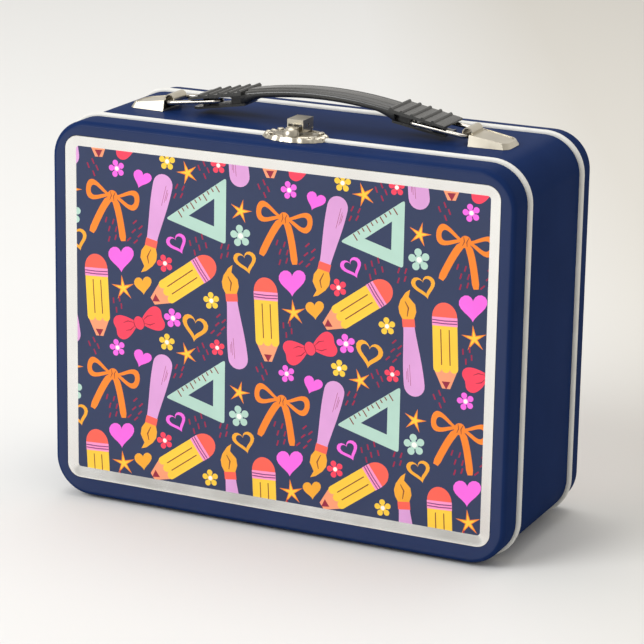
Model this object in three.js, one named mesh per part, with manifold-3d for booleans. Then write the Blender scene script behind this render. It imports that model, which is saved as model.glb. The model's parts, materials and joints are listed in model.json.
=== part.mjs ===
// Flat tin lunch box: a wrapped centre band between two drawn shells, the front one hinged as a lid,
// with rolled rim beads, framed picture panels, a top latch and a lifting handle on wire bails.
// Millimetres, +Z up, front face towards -Y, origin under the middle of the box on its resting plane.

import * as THREE from 'three';
import { mergeVertices } from 'three/addons/utils/BufferGeometryUtils.js';
import Module from 'manifold-3d';

const wasm = await Module();
wasm.setup();

// --- Driving dimensions: box ---------------------------------------------------------------
const BODY_WIDTH = 220;
const BODY_HEIGHT = 173.7;
const BODY_DEPTH = 91.2;
const CORNER_RADIUS = 17;
const EDGE_RADIUS = 2.6;          // soft drawn edge between a face and its sides
const SHEET = 0.35;               // tinplate thickness
const LID_DEPTH = 15.6;           // front face to the middle of the front bead
const BACK_DEPTH = 13.2;          // rear face to the middle of the rear bead
const BEAD_PROUD = 1.5;           // how far a rim bead stands out of the body
const BEAD_WIDTH = 3.2;
const BEAD_ROUND = 1.3;           // rounding of each bead shoulder, along the depth
const NECK_DROP = 1.2;            // how far the neck is stepped in from the body surface
const NECK_REACH = 6;             // neck length past the middle of a bead
const SEAT = 0.1;                 // clearance between seated pieces
const LID_GAP = 0.3;              // clearance between the lid's rim and the front bead
const LAP = 1;                    // how far one shape runs past another that it joins or cuts
const EDGE_STEPS = 4;             // facets round a soft drawn edge
const BEAD_STEPS = 3;             // facets round a bead's shoulder

// --- Picture panels ------------------------------------------------------------------------
const FRAME_SIDE = 6.6;           // navy border left of and right of the panel
const FRAME_TOP = 6.5;
const FRAME_BOTTOM = 8.2;
const FRAME_RADIUS = 6.5;
const FRAME_WIDTH = 4.9;          // sloped white border of the panel
const PANEL_RECESS = 1.2;
const PANEL_SHEET = 0.35;
const PANEL_CLEARANCE = 0.15;

// --- Lid hinges ----------------------------------------------------------------------------
const HINGE_SPACING = 110;
const HINGE_WIDTH = 24;
const KNUCKLE_RADIUS = 1.2;
const KNUCKLE_BORE = 0.62;
const HINGE_PIN_RADIUS = 0.5;
const KNUCKLE_CLEARANCE = 0.25;   // knuckle to the neck above it
const LEAF_SHEET = 0.45;
const LEAF_LENGTH = 11;
const LEAF_RIVET_REACH = 7.8;     // hinge axis to rivet row
const LEAF_RIVET_PITCH = 14;
const KNUCKLE_GAP = 0.3;
const KNUCKLE_SIDES = 16;
const LEAF_STANDOFF = 0.4;        // knuckle to the near edge of its leaf
const LEAF_NECK_START = 0.2;      // bore to the start of the neck that carries a knuckle

// --- Rivets --------------------------------------------------------------------------------
const RIVET_SHANK = 0.8;
const RIVET_HEAD = 1.6;
const RIVET_HEAD_HEIGHT = 0.45;
const RIVET_TAIL = 1.3;
const RIVET_TAIL_HEIGHT = 0.35;
const RIVET_CLEARANCE = 0.12;
const RIVET_CROWN = 0.6;          // flat share of a head's radius
const RIVET_SIDES = 10;

// --- Latch ---------------------------------------------------------------------------------
const LATCH_X = 2;
const PLATE_HALF_WIDTH = 15.4;
const PLATE_HALF_DEPTH = 10.4;
const PLATE_SCALLOPS = 18;
const PLATE_SCALLOP_DEPTH = 0.5;
const PLATE_SHEET = 0.5;
const PLATE_OVER_BEAD = 0.2;      // air between the bead's top and the plate
const PLATE_SPLIT = 0.5;          // gap between the two halves of the plate
const PLATE_RIVET_SPREAD = 9.6;
const PLATE_RIVET_REACH = 4.9;
const HASP_WIDTH = 7.6;
const HASP_LENGTH = 10.2;
const HASP_HEIGHT = 5.7;          // above its lower edge
const HASP_SHEET = 0.5;
const HASP_LIP = 2;
const HASP_FRONT = 1;             // lip ahead of the middle of the bead
const HASP_HEEL_RADIUS = 0.9;
const HASP_LIFT = 0.3;            // air between the hasp and the plate
const HASP_PIN_RADIUS = 0.4;
const HASP_PIN_CLEARANCE = 0.1;
const HASP_PIN_END = 0.4;         // pin end outside the hasp's cheek
const HASP_HOLE_RADIUS = 0.9;
const HASP_HOLE_SIDES = 8;
const EAR_SHEET = 0.6;
const EAR_GAP = 0.3;
const EAR_FOOT_HALF = 1.4;
const EAR_HALF = 1;               // half width of an ear beside its pin, and its rise above it
const EAR_SHOULDER = 0.5;         // rise of an ear's corner above its pin
const EAR_TOP_HALF = 0.4;
const CATCH_RADIUS = 3.8;
const CATCH_REACH = 5.1;          // bead middle to the catch dome's centre
const CATCH_TONGUE_WIDTH = 5;
const CATCH_TONGUE_REACH = 2;
const CATCH_TONGUE_LIFT = 0.3;    // air between the tongue and the rear half of the plate
const CATCH_TONGUE_DROP = 0.5;    // tongue's top below the dome's
const CATCH_CLEARANCE = 0.4;      // under the hasp's lip
const CATCH_SIDES = 16;           // facets round the dome and up it
const CATCH_RINGS = 10;

// --- Handle --------------------------------------------------------------------------------
const HANDLE_Y = -1;
const GRIP_SHIFT = 1.4;           // the loose grip lies this far right of the middle
const BRACKET_INNER = 73.5;
const BRACKET_OUTER = 91.5;
const BRACKET_INNER_HALF = 9.2;
const BRACKET_OUTER_HALF = 8.2;
const BRACKET_INNER_HEIGHT = 5;
const BRACKET_OUTER_HEIGHT = 2.2;
const BRACKET_SHEET = 0.7;
const BRACKET_CLIP = 2.2;         // clipped outer corners
const BRACKET_RIVET_FIRST = 5;
const BRACKET_RIVET_PITCH = 5.5;
const CURL_INSET = 1.6;           // curl's middle inboard of the bracket's open end
const CURL_RISE = 5.2;            // curl's middle above the band
const CURL_OUTER = 2.4;
const CURL_INNER = 1.9;
const CURL_LENGTH = 12;
const CURL_STEPS = 6;             // facets round a curl
const CURL_START_DEG = -39.6;     // a curl's ends, anticlockwise from straight outwards
const CURL_END_DEG = 194.4;
const WIRE_RADIUS = 1;
const WIRE_STEPS = 4;             // facets round a quarter of the wire
const BAIL_HALF_WIDTH = 8.2;
const BAIL_REACH = 26;
const BAIL_REST_DEG = 7.5;
const BAIL_HOOK = 3.4;
const BAIL_BEND = 2.2;
const BAIL_STEPS = 34;            // facets along a bail
const PIVOT_RISE = 4;             // wire's middle above the band
const GRIP_HALF_LENGTH = 61.5;
const GRIP_ARCH_HALF = 36;
const GRIP_TOP_RISE = 16.6;       // crown of the grip above the band
const GRIP_SHOULDER_RISE = 13;    // top of the grip where the ribbed ends begin
const GRIP_TIP_RISE = 8.1;        // top of the ribbed ends at their tips
const GRIP_THICKNESS = 4.3;
const GRIP_END_THICKNESS = 2.18;  // arch where it turns down into its foot
const GRIP_FOOT_INSET = 7;        // that turn, inboard of the arch's end
const GRIP_FOOT_LENGTH = 3;       // inboard reach of the foot under each end of the arch
const GRIP_FOOT_RISE = 2.1;       // foot's inboard edge above the lower plate's underside
const GRIP_TOP_STEPS = 16;        // facets along the arch, above and below
const GRIP_UNDER_STEPS = 12;
const GRIP_HALF_WIDTH = 7.8;
const GRIP_END_HALF_WIDTH = 10.4;
const GRIP_CORE_HALF_WIDTH = 6.4;
const GRIP_PLATE = 1.1;
const GRIP_PLATE_ROOT = 1.7;      // upper plate where it leaves the arch
const GRIP_END_LAP = 0.5;         // how far each end runs into the arch
const GRIP_PLATE_LAP = 0.4;       // how far roots and ribs run into the upper plate
const GRIP_LOWER_SHORT = 1;       // lower plate's tip inboard of the upper one's
const GRIP_UNDER_RISE = 6.1;      // underside where the arch meets the lower plate
const GRIP_UNDER_TIP_RISE = 1.8;
const GRIP_WINDOW_START = 43;
const GRIP_WINDOW_END = 54;
const GRIP_STOP = 3;
const RIB_COUNT = 5;
const RIB_PITCH = 4.9;
const RIB_WIDTH = 1;
const RIB_HEIGHT = 0.8;

// --- Derived levels ------------------------------------------------------------------------
const BODY_BOTTOM = BEAD_PROUD;
const BODY_TOP = BODY_BOTTOM + BODY_HEIGHT;
const FACE_FRONT = -BODY_DEPTH / 2;
const FACE_REAR = BODY_DEPTH / 2;
const BEAD_FRONT = FACE_FRONT + LID_DEPTH;
const BEAD_REAR = FACE_REAR - BACK_DEPTH;
const BEAD_HALF = BEAD_WIDTH / 2;
const BAND_FRONT = BEAD_FRONT + BEAD_HALF + SEAT;
const BAND_REAR = BEAD_REAR - BEAD_HALF - SEAT;
const LID_RIM = BEAD_FRONT - BEAD_HALF - LID_GAP;
const SHELL_RIM = BEAD_REAR + BEAD_HALF + SEAT;
const PIVOT_Z = BODY_BOTTOM + NECK_DROP - KNUCKLE_CLEARANCE - KNUCKLE_RADIUS;
const PLATE_TOP = BODY_TOP + BEAD_PROUD + PLATE_OVER_BEAD + PLATE_SHEET;
const HASP_BOTTOM = PLATE_TOP + HASP_LIFT;
const HASP_TOP = HASP_BOTTOM + HASP_HEIGHT;
const HASP_FRONT_Y = BEAD_FRONT - HASP_FRONT;
const HASP_REAR_Y = HASP_FRONT_Y + HASP_LENGTH;
const HASP_PIN_Y = HASP_REAR_Y - HASP_HEEL_RADIUS;
const HASP_PIN_Z = HASP_BOTTOM + HASP_HEEL_RADIUS;
const BAIL_PIVOT_X = BRACKET_INNER - CURL_INSET;
const BAIL_PIVOT_Z = BODY_TOP + PIVOT_RISE;
const DEEP = 40;                  // reach of a cutting tool that clears the whole piece
const WELD = 1e-4;                // points nearer than this are one

// --- Materials -----------------------------------------------------------------------------
const finish = (color, roughness, metalness) =>
  new THREE.MeshStandardMaterial({ color, roughness, metalness });
const navyEnamel = finish(0x1c2c58, 0.35, 0.2);
const whiteRim = finish(0xe6e4de, 0.35, 0.3);
const panelPrint = finish(0x3c4869, 0.4, 0.2);
const nickel = finish(0xbfb6a2, 0.3, 0.9);
const wireChrome = finish(0xd2cfc8, 0.2, 1);
const gripPlastic = finish(0x41413f, 0.45, 0);

// --- Solid helpers -------------------------------------------------------------------------
function toSolid(geometry) {
  const bare = geometry.clone();
  bare.deleteAttribute('normal');
  bare.deleteAttribute('uv');
  const merged = mergeVertices(bare, WELD);
  return new wasm.Manifold(new wasm.Mesh({
    numProp: 3,
    vertProperties: new Float32Array(merged.attributes.position.array),
    triVerts: new Uint32Array(merged.index.array),
  }));
}

function toGeometry(solid) {
  const mesh = solid.getMesh();
  const geometry = new THREE.BufferGeometry();
  geometry.setAttribute('position', new THREE.BufferAttribute(mesh.vertProperties, 3));
  geometry.setIndex(new THREE.BufferAttribute(mesh.triVerts, 1));
  geometry.computeVertexNormals();
  return geometry;
}

const join = (first, ...rest) => rest.reduce((sum, piece) => sum.add(piece), first);
const cut = (first, ...rest) => rest.reduce((left, piece) => left.subtract(piece), first);

const alongY = new THREE.Matrix4().makeRotationX(Math.PI / 2);
const alongX = new THREE.Matrix4().makeBasis(
  new THREE.Vector3(0, 1, 0), new THREE.Vector3(0, 0, 1), new THREE.Vector3(1, 0, 0));

// A front-view outline (x, z) carried from y0 to y1.
function slabY(outline, y0, y1, curveSegments = 4) {
  const geometry = new THREE.ExtrudeGeometry(outline, {
    depth: y1 - y0, bevelEnabled: false, curveSegments,
  });
  geometry.applyMatrix4(alongY).translate(0, y1, 0);
  return toSolid(geometry);
}

// The same, with both rims drawn in by side and deep: round with several steps, a slope with one.
function cushionY(outline, y0, y1, side, deep, steps) {
  const geometry = new THREE.ExtrudeGeometry(outline, {
    depth: y1 - y0 - 2 * deep, curveSegments: 4, bevelEnabled: true,
    bevelThickness: deep, bevelSize: side, bevelOffset: -side, bevelSegments: steps,
  });
  geometry.applyMatrix4(alongY).translate(0, y1 - deep, 0);
  return toSolid(geometry);
}

// A side-view outline (y, z) carried from x0 to x1.
function slabX(outline, x0, x1, curveSegments = 4) {
  const geometry = new THREE.ExtrudeGeometry(outline, {
    depth: x1 - x0, bevelEnabled: false, curveSegments,
  });
  geometry.applyMatrix4(alongX).translate(x0, 0, 0);
  return toSolid(geometry);
}

// A plan outline (x, y) carried from z0 to z1.
function slabZ(outline, z0, z1, curveSegments = 4) {
  const geometry = new THREE.ExtrudeGeometry(outline, {
    depth: z1 - z0, bevelEnabled: false, curveSegments,
  });
  geometry.translate(0, 0, z0);
  return toSolid(geometry);
}

function block(x0, x1, y0, y1, z0, z1) {
  const geometry = new THREE.BoxGeometry(x1 - x0, y1 - y0, z1 - z0);
  geometry.translate((x0 + x1) / 2, (y0 + y1) / 2, (z0 + z1) / 2);
  return toSolid(geometry);
}

function rodX(radius, x0, x1, y, z, sides = 12) {
  const geometry = new THREE.CylinderGeometry(radius, radius, x1 - x0, sides);
  geometry.rotateZ(Math.PI / 2).translate((x0 + x1) / 2, y, z);
  return toSolid(geometry);
}

function rodZ(radius, x, y, z0, z1, sides = 12) {
  const geometry = new THREE.CylinderGeometry(radius, radius, z1 - z0, sides);
  geometry.rotateX(Math.PI / 2).translate(x, y, (z0 + z1) / 2);
  return toSolid(geometry);
}

function polygon(points) {
  const outline = new THREE.Shape();
  points.forEach(([a, b], i) => (i ? outline.lineTo(a, b) : outline.moveTo(a, b)));
  return outline;
}

function roundedRect(halfWidth, low, high, radius) {
  const outline = new THREE.Shape();
  outline.moveTo(-halfWidth + radius, low);
  outline.absarc(halfWidth - radius, low + radius, radius, -Math.PI / 2, 0, false);
  outline.absarc(halfWidth - radius, high - radius, radius, 0, Math.PI / 2, false);
  outline.absarc(-halfWidth + radius, high - radius, radius, Math.PI / 2, Math.PI, false);
  outline.absarc(-halfWidth + radius, low + radius, radius, Math.PI, Math.PI * 1.5, false);
  return outline;
}

// The body's front outline, grown outwards by offset (inwards where negative).
const bodyOutline = (offset) => roundedRect(
  BODY_WIDTH / 2 + offset, BODY_BOTTOM - offset, BODY_TOP + offset, CORNER_RADIUS + offset);

// The picture panel's outline, grown by offset.
const panelOutline = (offset) => roundedRect(
  BODY_WIDTH / 2 - FRAME_SIDE + offset, BODY_BOTTOM + FRAME_BOTTOM - offset,
  BODY_TOP - FRAME_TOP + offset, FRAME_RADIUS + offset);

// Turns a piece made for the front so that it faces the rear.
const faceRear = (solid) => solid.rotate([0, 0, 180]);

const parts = new THREE.Group();
function addPart(name, shape, material) {
  const geometry = shape.isBufferGeometry ? shape : toGeometry(shape);
  const mesh = new THREE.Mesh(geometry, material);
  mesh.name = name;
  parts.add(mesh);
}

// --- Rivets: every rivet stands along Z and clamps the sheets between two levels --------------
const rivets = [];
function rivet(name, owner, x, y, low, high, headBelow) {
  rivets.push({ name, owner, x, y, low, high, headBelow });
}

function rivetSolid({ x, y, low, high, headBelow }) {
  const below = headBelow ? [RIVET_HEAD, RIVET_HEAD_HEIGHT] : [RIVET_TAIL, RIVET_TAIL_HEIGHT];
  const above = headBelow ? [RIVET_TAIL, RIVET_TAIL_HEIGHT] : [RIVET_HEAD, RIVET_HEAD_HEIGHT];
  const start = low - SEAT;
  const end = high + SEAT;
  const profile = [
    [0, start - below[1]], [below[0] * RIVET_CROWN, start - below[1]], [below[0], start],
    [RIVET_SHANK, start], [RIVET_SHANK, end],
    [above[0], end], [above[0] * RIVET_CROWN, end + above[1]], [0, end + above[1]],
  ].map(([r, z]) => new THREE.Vector2(r, z));
  const geometry = new THREE.LatheGeometry(profile, RIVET_SIDES);
  geometry.rotateX(Math.PI / 2).translate(x, y, 0);
  return toSolid(geometry);
}

const rivetHoles = (owner) => rivets
  .filter((one) => one.owner.includes(owner))
  .map((one) => rodZ(RIVET_SHANK + RIVET_CLEARANCE, one.x, one.y, one.low - LAP, one.high + LAP));

for (const [side, sign] of [['left', -1], ['right', 1]]) {
  for (const [end, step] of [['a', -0.5], ['b', 0.5]]) {
    const x = sign * HINGE_SPACING / 2 + step * LEAF_RIVET_PITCH;
    const low = BODY_BOTTOM - SEAT - LEAF_SHEET;
    const high = BODY_BOTTOM + SHEET;
    rivet(`hinge_${side}_body_rivet_${end}`, `band body_leaf_${side}`,
      x, BEAD_FRONT + LEAF_RIVET_REACH, low, high, true);
    rivet(`hinge_${side}_lid_rivet_${end}`, `lid lid_leaf_${side}`,
      x, BEAD_FRONT - LEAF_RIVET_REACH, low, high, true);
  }
  for (const [end, step] of [['inner', 0], ['outer', 1]]) {
    const reach = BRACKET_INNER + BRACKET_RIVET_FIRST + step * BRACKET_RIVET_PITCH;
    rivet(`bracket_${side}_rivet_${end}`, `band bracket_${side}`,
      sign * reach, HANDLE_Y, BODY_TOP - SHEET, BODY_TOP + SEAT + BRACKET_SHEET, false);
  }
  const plateX = LATCH_X + sign * PLATE_RIVET_SPREAD;
  rivet(`latch_plate_rear_rivet_${side}`, 'band plate_rear',
    plateX, BEAD_FRONT + PLATE_RIVET_REACH, BODY_TOP - SHEET, PLATE_TOP, false);
  rivet(`latch_plate_front_rivet_${side}`, 'lid plate_front',
    plateX, BEAD_FRONT - PLATE_RIVET_REACH, BODY_TOP - SHEET, PLATE_TOP, false);
}

// --- Centre band: a hoop of sheet, stepped in at both edges to make the necks -----------------
const bandOutside = join(
  slabY(bodyOutline(0), BAND_FRONT, BAND_REAR),
  slabY(bodyOutline(-NECK_DROP), BEAD_FRONT - NECK_REACH, BEAD_REAR + NECK_REACH));
const bandInside = join(
  slabY(bodyOutline(-SHEET), BAND_FRONT + SHEET, BAND_REAR - SHEET),
  slabY(bodyOutline(-NECK_DROP - SHEET), -BODY_DEPTH, BODY_DEPTH));
addPart('centre_band', cut(bandOutside, bandInside, ...rivetHoles('band')), navyEnamel);

// --- Shells: one drawing used for the lid and the back, made facing front ---------------------
function shell(faceY, rimY) {
  const pocketDepth = PANEL_RECESS + PANEL_SHEET + SEAT;
  const skin = cut(
    cushionY(bodyOutline(0), faceY, -faceY, EDGE_RADIUS, EDGE_RADIUS, EDGE_STEPS),
    cushionY(bodyOutline(-SHEET), faceY + SHEET, -faceY,
      EDGE_RADIUS - SHEET, EDGE_RADIUS - SHEET, EDGE_STEPS),
    block(-BODY_WIDTH, BODY_WIDTH, rimY, BODY_DEPTH, -DEEP, BODY_TOP + DEEP));
  const floor = slabY(panelOutline(PANEL_CLEARANCE + SHEET), faceY + SHEET / 2,
    faceY + pocketDepth + SHEET);
  const pocket = slabY(panelOutline(PANEL_CLEARANCE), faceY - DEEP, faceY + pocketDepth);
  return cut(join(skin, floor), pocket);
}

// A dished panel whose white border slopes down to the picture.
function panel(faceY) {
  const slope = FRAME_WIDTH;
  const rim = PANEL_SHEET;
  const back = faceY + PANEL_RECESS + PANEL_SHEET;
  const dish = cushionY(panelOutline(0), faceY - DEEP, back, slope, PANEL_RECESS + PANEL_SHEET, 1);
  const hollow = cushionY(panelOutline(-rim), faceY - DEEP, faceY + PANEL_RECESS,
    slope - rim, PANEL_RECESS, 1);
  const front = block(-BODY_WIDTH, BODY_WIDTH, faceY - 2 * DEEP, faceY, -DEEP, BODY_TOP + DEEP);
  return cut(dish, hollow, front);
}

addPart('front_lid', cut(shell(FACE_FRONT, LID_RIM), ...rivetHoles('lid')), navyEnamel);
addPart('front_picture_panel', panel(FACE_FRONT), panelPrint);
addPart('rear_shell', faceRear(shell(FACE_FRONT, -SHELL_RIM)), navyEnamel);
addPart('rear_picture_panel', faceRear(panel(FACE_FRONT)), panelPrint);

// --- Rim beads: rounded hoops that lie on the necks --------------------------------------------
const bead = (y) => cut(
  cushionY(bodyOutline(BEAD_PROUD), y - BEAD_HALF, y + BEAD_HALF, BEAD_PROUD, BEAD_ROUND,
    BEAD_STEPS),
  slabY(bodyOutline(-NECK_DROP + SEAT), y - BEAD_WIDTH, y + BEAD_WIDTH));
addPart('rear_rim_bead', bead(BEAD_REAR), whiteRim);

// The front bead stops either side of each hinge.
const hingeGapHalf = HINGE_WIDTH / 2 + KNUCKLE_GAP;
const betweenHinges = HINGE_SPACING / 2 - hingeGapHalf;
const beadLow = [BEAD_FRONT - BEAD_WIDTH, BEAD_FRONT + BEAD_WIDTH,
  -LAP, BODY_BOTTOM + NECK_DROP + LAP];
const outsideHinges = HINGE_SPACING / 2 + hingeGapHalf;
addPart('front_rim_bead_hoop',
  cut(bead(BEAD_FRONT), block(-outsideHinges, outsideHinges, ...beadLow)), whiteRim);
addPart('front_rim_bead_foot',
  bead(BEAD_FRONT).intersect(block(-betweenHinges, betweenHinges, ...beadLow)), whiteRim);

// --- Lid hinges: two small leaf hinges set into the bead's gaps --------------------------------
const thirds = HINGE_WIDTH / 3;

// One leaf reaching in direction dir, with its knuckles rolled round the axis over spans.
function leaf(centre, dir, spans, owner) {
  const top = BODY_BOTTOM - SEAT;
  const clear = KNUCKLE_RADIUS + LEAF_STANDOFF;
  const near = BEAD_FRONT + dir * clear;
  const far = BEAD_FRONT + dir * LEAF_LENGTH;
  const plate = (x0, x1, a, b) => block(x0, x1, Math.min(a, b), Math.max(a, b),
    top - LEAF_SHEET, top);
  const rings = spans.map(([x0, x1]) => join(
    cut(rodX(KNUCKLE_RADIUS, x0, x1, BEAD_FRONT, PIVOT_Z, KNUCKLE_SIDES),
      rodX(KNUCKLE_BORE, x0 - LAP, x1 + LAP, BEAD_FRONT, PIVOT_Z)),
    plate(x0, x1, BEAD_FRONT + dir * (KNUCKLE_BORE + LEAF_NECK_START), near + dir * LAP)));
  const full = plate(centre - HINGE_WIDTH / 2, centre + HINGE_WIDTH / 2, near, far);
  return cut(join(full, ...rings), ...rivetHoles(owner));
}

for (const [side, sign] of [['left', -1], ['right', 1]]) {
  const centre = sign * HINGE_SPACING / 2;
  const inner = thirds / 2 - KNUCKLE_GAP / 2;
  const outer = thirds / 2 + KNUCKLE_GAP / 2;
  const half = HINGE_WIDTH / 2;
  addPart(`hinge_${side}_body_leaf`,
    leaf(centre, 1, [[centre - inner, centre + inner]], `body_leaf_${side}`), nickel);
  addPart(`hinge_${side}_lid_leaf`,
    leaf(centre, -1, [[centre - half, centre - outer], [centre + outer, centre + half]],
      `lid_leaf_${side}`), nickel);
  addPart(`hinge_${side}_pin`,
    rodX(HINGE_PIN_RADIUS, centre - half, centre + half, BEAD_FRONT, PIVOT_Z), wireChrome);
}

// --- Latch plate: an oval stamped plate bridging the bead, split so that the lid can open ------
function plateOutline(inset) {
  const outline = new THREE.Shape();
  const steps = PLATE_SCALLOPS * 2;
  for (let i = 0; i < steps; i++) {
    const angle = (i / steps) * Math.PI * 2;
    const lobe = PLATE_SCALLOP_DEPTH * Math.abs(Math.sin(angle * PLATE_SCALLOPS / 2));
    const x = LATCH_X + (PLATE_HALF_WIDTH - PLATE_SCALLOP_DEPTH + lobe - inset) * Math.cos(angle);
    const y = BEAD_FRONT + (PLATE_HALF_DEPTH - PLATE_SCALLOP_DEPTH + lobe - inset) * Math.sin(angle);
    if (i) outline.lineTo(x, y);
    else outline.moveTo(x, y);
  }
  return outline;
}

const plateShell = cut(
  slabZ(plateOutline(0), BODY_TOP + SEAT, PLATE_TOP),
  slabZ(plateOutline(PLATE_SHEET), BODY_TOP - LAP, PLATE_TOP - PLATE_SHEET),
  block(-DEEP, DEEP, BEAD_FRONT - BEAD_HALF - LID_GAP, BEAD_FRONT + BEAD_HALF + LID_GAP,
    BODY_TOP - LAP, PLATE_TOP - PLATE_SHEET));
const plateBack = block(-DEEP, DEEP, BEAD_FRONT + PLATE_SPLIT / 2, BEAD_FRONT + DEEP,
  BODY_TOP - LAP, PLATE_TOP + DEEP);
const plateFore = block(-DEEP, DEEP, BEAD_FRONT - DEEP, BEAD_FRONT - PLATE_SPLIT / 2,
  BODY_TOP - LAP, PLATE_TOP + DEEP);

// Two ears folded up from the rear half carry the hasp's pin inside its cheeks.
const haspHalf = HASP_WIDTH / 2;
const earOuter = haspHalf - HASP_SHEET - EAR_GAP;
const earOutline = polygon([
  [HASP_PIN_Y - EAR_FOOT_HALF, PLATE_TOP - PLATE_SHEET],
  [HASP_PIN_Y + EAR_FOOT_HALF, PLATE_TOP - PLATE_SHEET],
  [HASP_PIN_Y + EAR_HALF, HASP_PIN_Z + EAR_SHOULDER],
  [HASP_PIN_Y + EAR_TOP_HALF, HASP_PIN_Z + EAR_HALF],
  [HASP_PIN_Y - EAR_TOP_HALF, HASP_PIN_Z + EAR_HALF],
  [HASP_PIN_Y - EAR_HALF, HASP_PIN_Z + EAR_SHOULDER],
]);
const ears = [-earOuter, earOuter - EAR_SHEET].map((x) => cut(
  slabX(earOutline, LATCH_X + x, LATCH_X + x + EAR_SHEET),
  rodX(HASP_PIN_RADIUS + HASP_PIN_CLEARANCE, LATCH_X - DEEP, LATCH_X + DEEP,
    HASP_PIN_Y, HASP_PIN_Z)));
addPart('latch_plate_rear',
  cut(join(plateShell.intersect(plateBack), ...ears), ...rivetHoles('plate_rear')), nickel);

// The front half carries the catch: a domed nose and a tongue that lies under the hasp's lip.
const catchTop = HASP_TOP - HASP_LIP - CATCH_CLEARANCE;
const catchDomeY = BEAD_FRONT - CATCH_REACH;
const domeGeometry = new THREE.SphereGeometry(1, CATCH_SIDES, CATCH_RINGS);
domeGeometry.scale(CATCH_RADIUS, CATCH_RADIUS, catchTop - PLATE_TOP + PLATE_SHEET);
domeGeometry.translate(LATCH_X, catchDomeY, PLATE_TOP - PLATE_SHEET);
const dome = toSolid(domeGeometry).intersect(
  block(-DEEP, DEEP, catchDomeY - DEEP, HASP_FRONT_Y - EAR_GAP,
    PLATE_TOP - PLATE_SHEET, HASP_TOP));
const tongueFront = catchDomeY + CATCH_RADIUS / 3;
const tongue = block(LATCH_X - CATCH_TONGUE_WIDTH / 2, LATCH_X + CATCH_TONGUE_WIDTH / 2,
  tongueFront, BEAD_FRONT + CATCH_TONGUE_REACH,
  PLATE_TOP + CATCH_TONGUE_LIFT, catchTop - CATCH_TONGUE_DROP);
addPart('latch_plate_front',
  cut(join(plateShell.intersect(plateFore), dome, tongue), ...rivetHoles('plate_front')), nickel);

// --- Hasp: an inverted channel with a turned-down lip, swinging on its pin ---------------------
const cheek = new THREE.Shape();
cheek.moveTo(HASP_FRONT_Y, HASP_BOTTOM);
cheek.lineTo(HASP_PIN_Y, HASP_BOTTOM);
cheek.absarc(HASP_PIN_Y, HASP_PIN_Z, HASP_HEEL_RADIUS, -Math.PI / 2, 0, false);
cheek.lineTo(HASP_REAR_Y, HASP_TOP);
cheek.lineTo(HASP_FRONT_Y, HASP_TOP);
const cheeks = [-haspHalf, haspHalf - HASP_SHEET].map((x) =>
  slabX(cheek, LATCH_X + x, LATCH_X + x + HASP_SHEET));
const haspTop = block(LATCH_X - haspHalf, LATCH_X + haspHalf, HASP_FRONT_Y, HASP_REAR_Y,
  HASP_TOP - HASP_SHEET, HASP_TOP);
const haspLip = block(LATCH_X - haspHalf, LATCH_X + haspHalf, HASP_FRONT_Y,
  HASP_FRONT_Y + HASP_SHEET, HASP_TOP - HASP_LIP, HASP_TOP);
addPart('latch_hasp', cut(
  join(haspTop, haspLip, ...cheeks),
  rodX(HASP_HOLE_RADIUS, LATCH_X - DEEP, LATCH_X + DEEP,
    (HASP_FRONT_Y + HASP_REAR_Y) / 2, (HASP_BOTTOM + HASP_TOP) / 2, HASP_HOLE_SIDES),
  rodX(HASP_PIN_RADIUS + HASP_PIN_CLEARANCE, LATCH_X - DEEP, LATCH_X + DEEP,
    HASP_PIN_Y, HASP_PIN_Z)), nickel);
addPart('latch_hasp_pin',
  rodX(HASP_PIN_RADIUS, LATCH_X - haspHalf - HASP_PIN_END, LATCH_X + haspHalf + HASP_PIN_END,
    HASP_PIN_Y, HASP_PIN_Z), wireChrome);

// --- Handle brackets: folded caps whose tongues curl over the bail wires -----------------------
function bracketPlan(inset, reach) {
  const inner = BRACKET_INNER - reach;
  const outer = BRACKET_OUTER - inset;
  const innerHalf = BRACKET_INNER_HALF - inset;
  const outerHalf = BRACKET_OUTER_HALF - inset;
  return polygon([
    [inner, HANDLE_Y - innerHalf],
    [outer - BRACKET_CLIP, HANDLE_Y - outerHalf],
    [outer, HANDLE_Y - outerHalf + BRACKET_CLIP],
    [outer, HANDLE_Y + outerHalf - BRACKET_CLIP],
    [outer - BRACKET_CLIP, HANDLE_Y + outerHalf],
    [inner, HANDLE_Y + innerHalf],
  ]);
}

function bracketWedge(drop, bottom) {
  const slope = (BRACKET_INNER_HEIGHT - BRACKET_OUTER_HEIGHT) / (BRACKET_OUTER - BRACKET_INNER);
  const inner = BODY_TOP + BRACKET_INNER_HEIGHT - drop;
  return slabY(polygon([
    [BRACKET_INNER - DEEP, bottom], [BRACKET_OUTER + DEEP, bottom],
    [BRACKET_OUTER + DEEP, inner - slope * (BRACKET_OUTER + DEEP - BRACKET_INNER)],
    [BRACKET_INNER - DEEP, inner + slope * DEEP],
  ].filter(([x, z]) => z >= bottom)), HANDLE_Y - DEEP, HANDLE_Y + DEEP);
}

// A ring open at the bottom, from just below the cap's sheet over the wire to its far side.
function curl() {
  const start = THREE.MathUtils.degToRad(CURL_START_DEG);
  const end = THREE.MathUtils.degToRad(CURL_END_DEG);
  const outline = new THREE.Shape();
  outline.absarc(BAIL_PIVOT_X, BODY_TOP + CURL_RISE, CURL_OUTER, start, end, false);
  outline.absarc(BAIL_PIVOT_X, BODY_TOP + CURL_RISE, CURL_INNER, end, start, true);
  return slabY(outline, HANDLE_Y - CURL_LENGTH / 2, HANDLE_Y + CURL_LENGTH / 2, CURL_STEPS);
}

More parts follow.
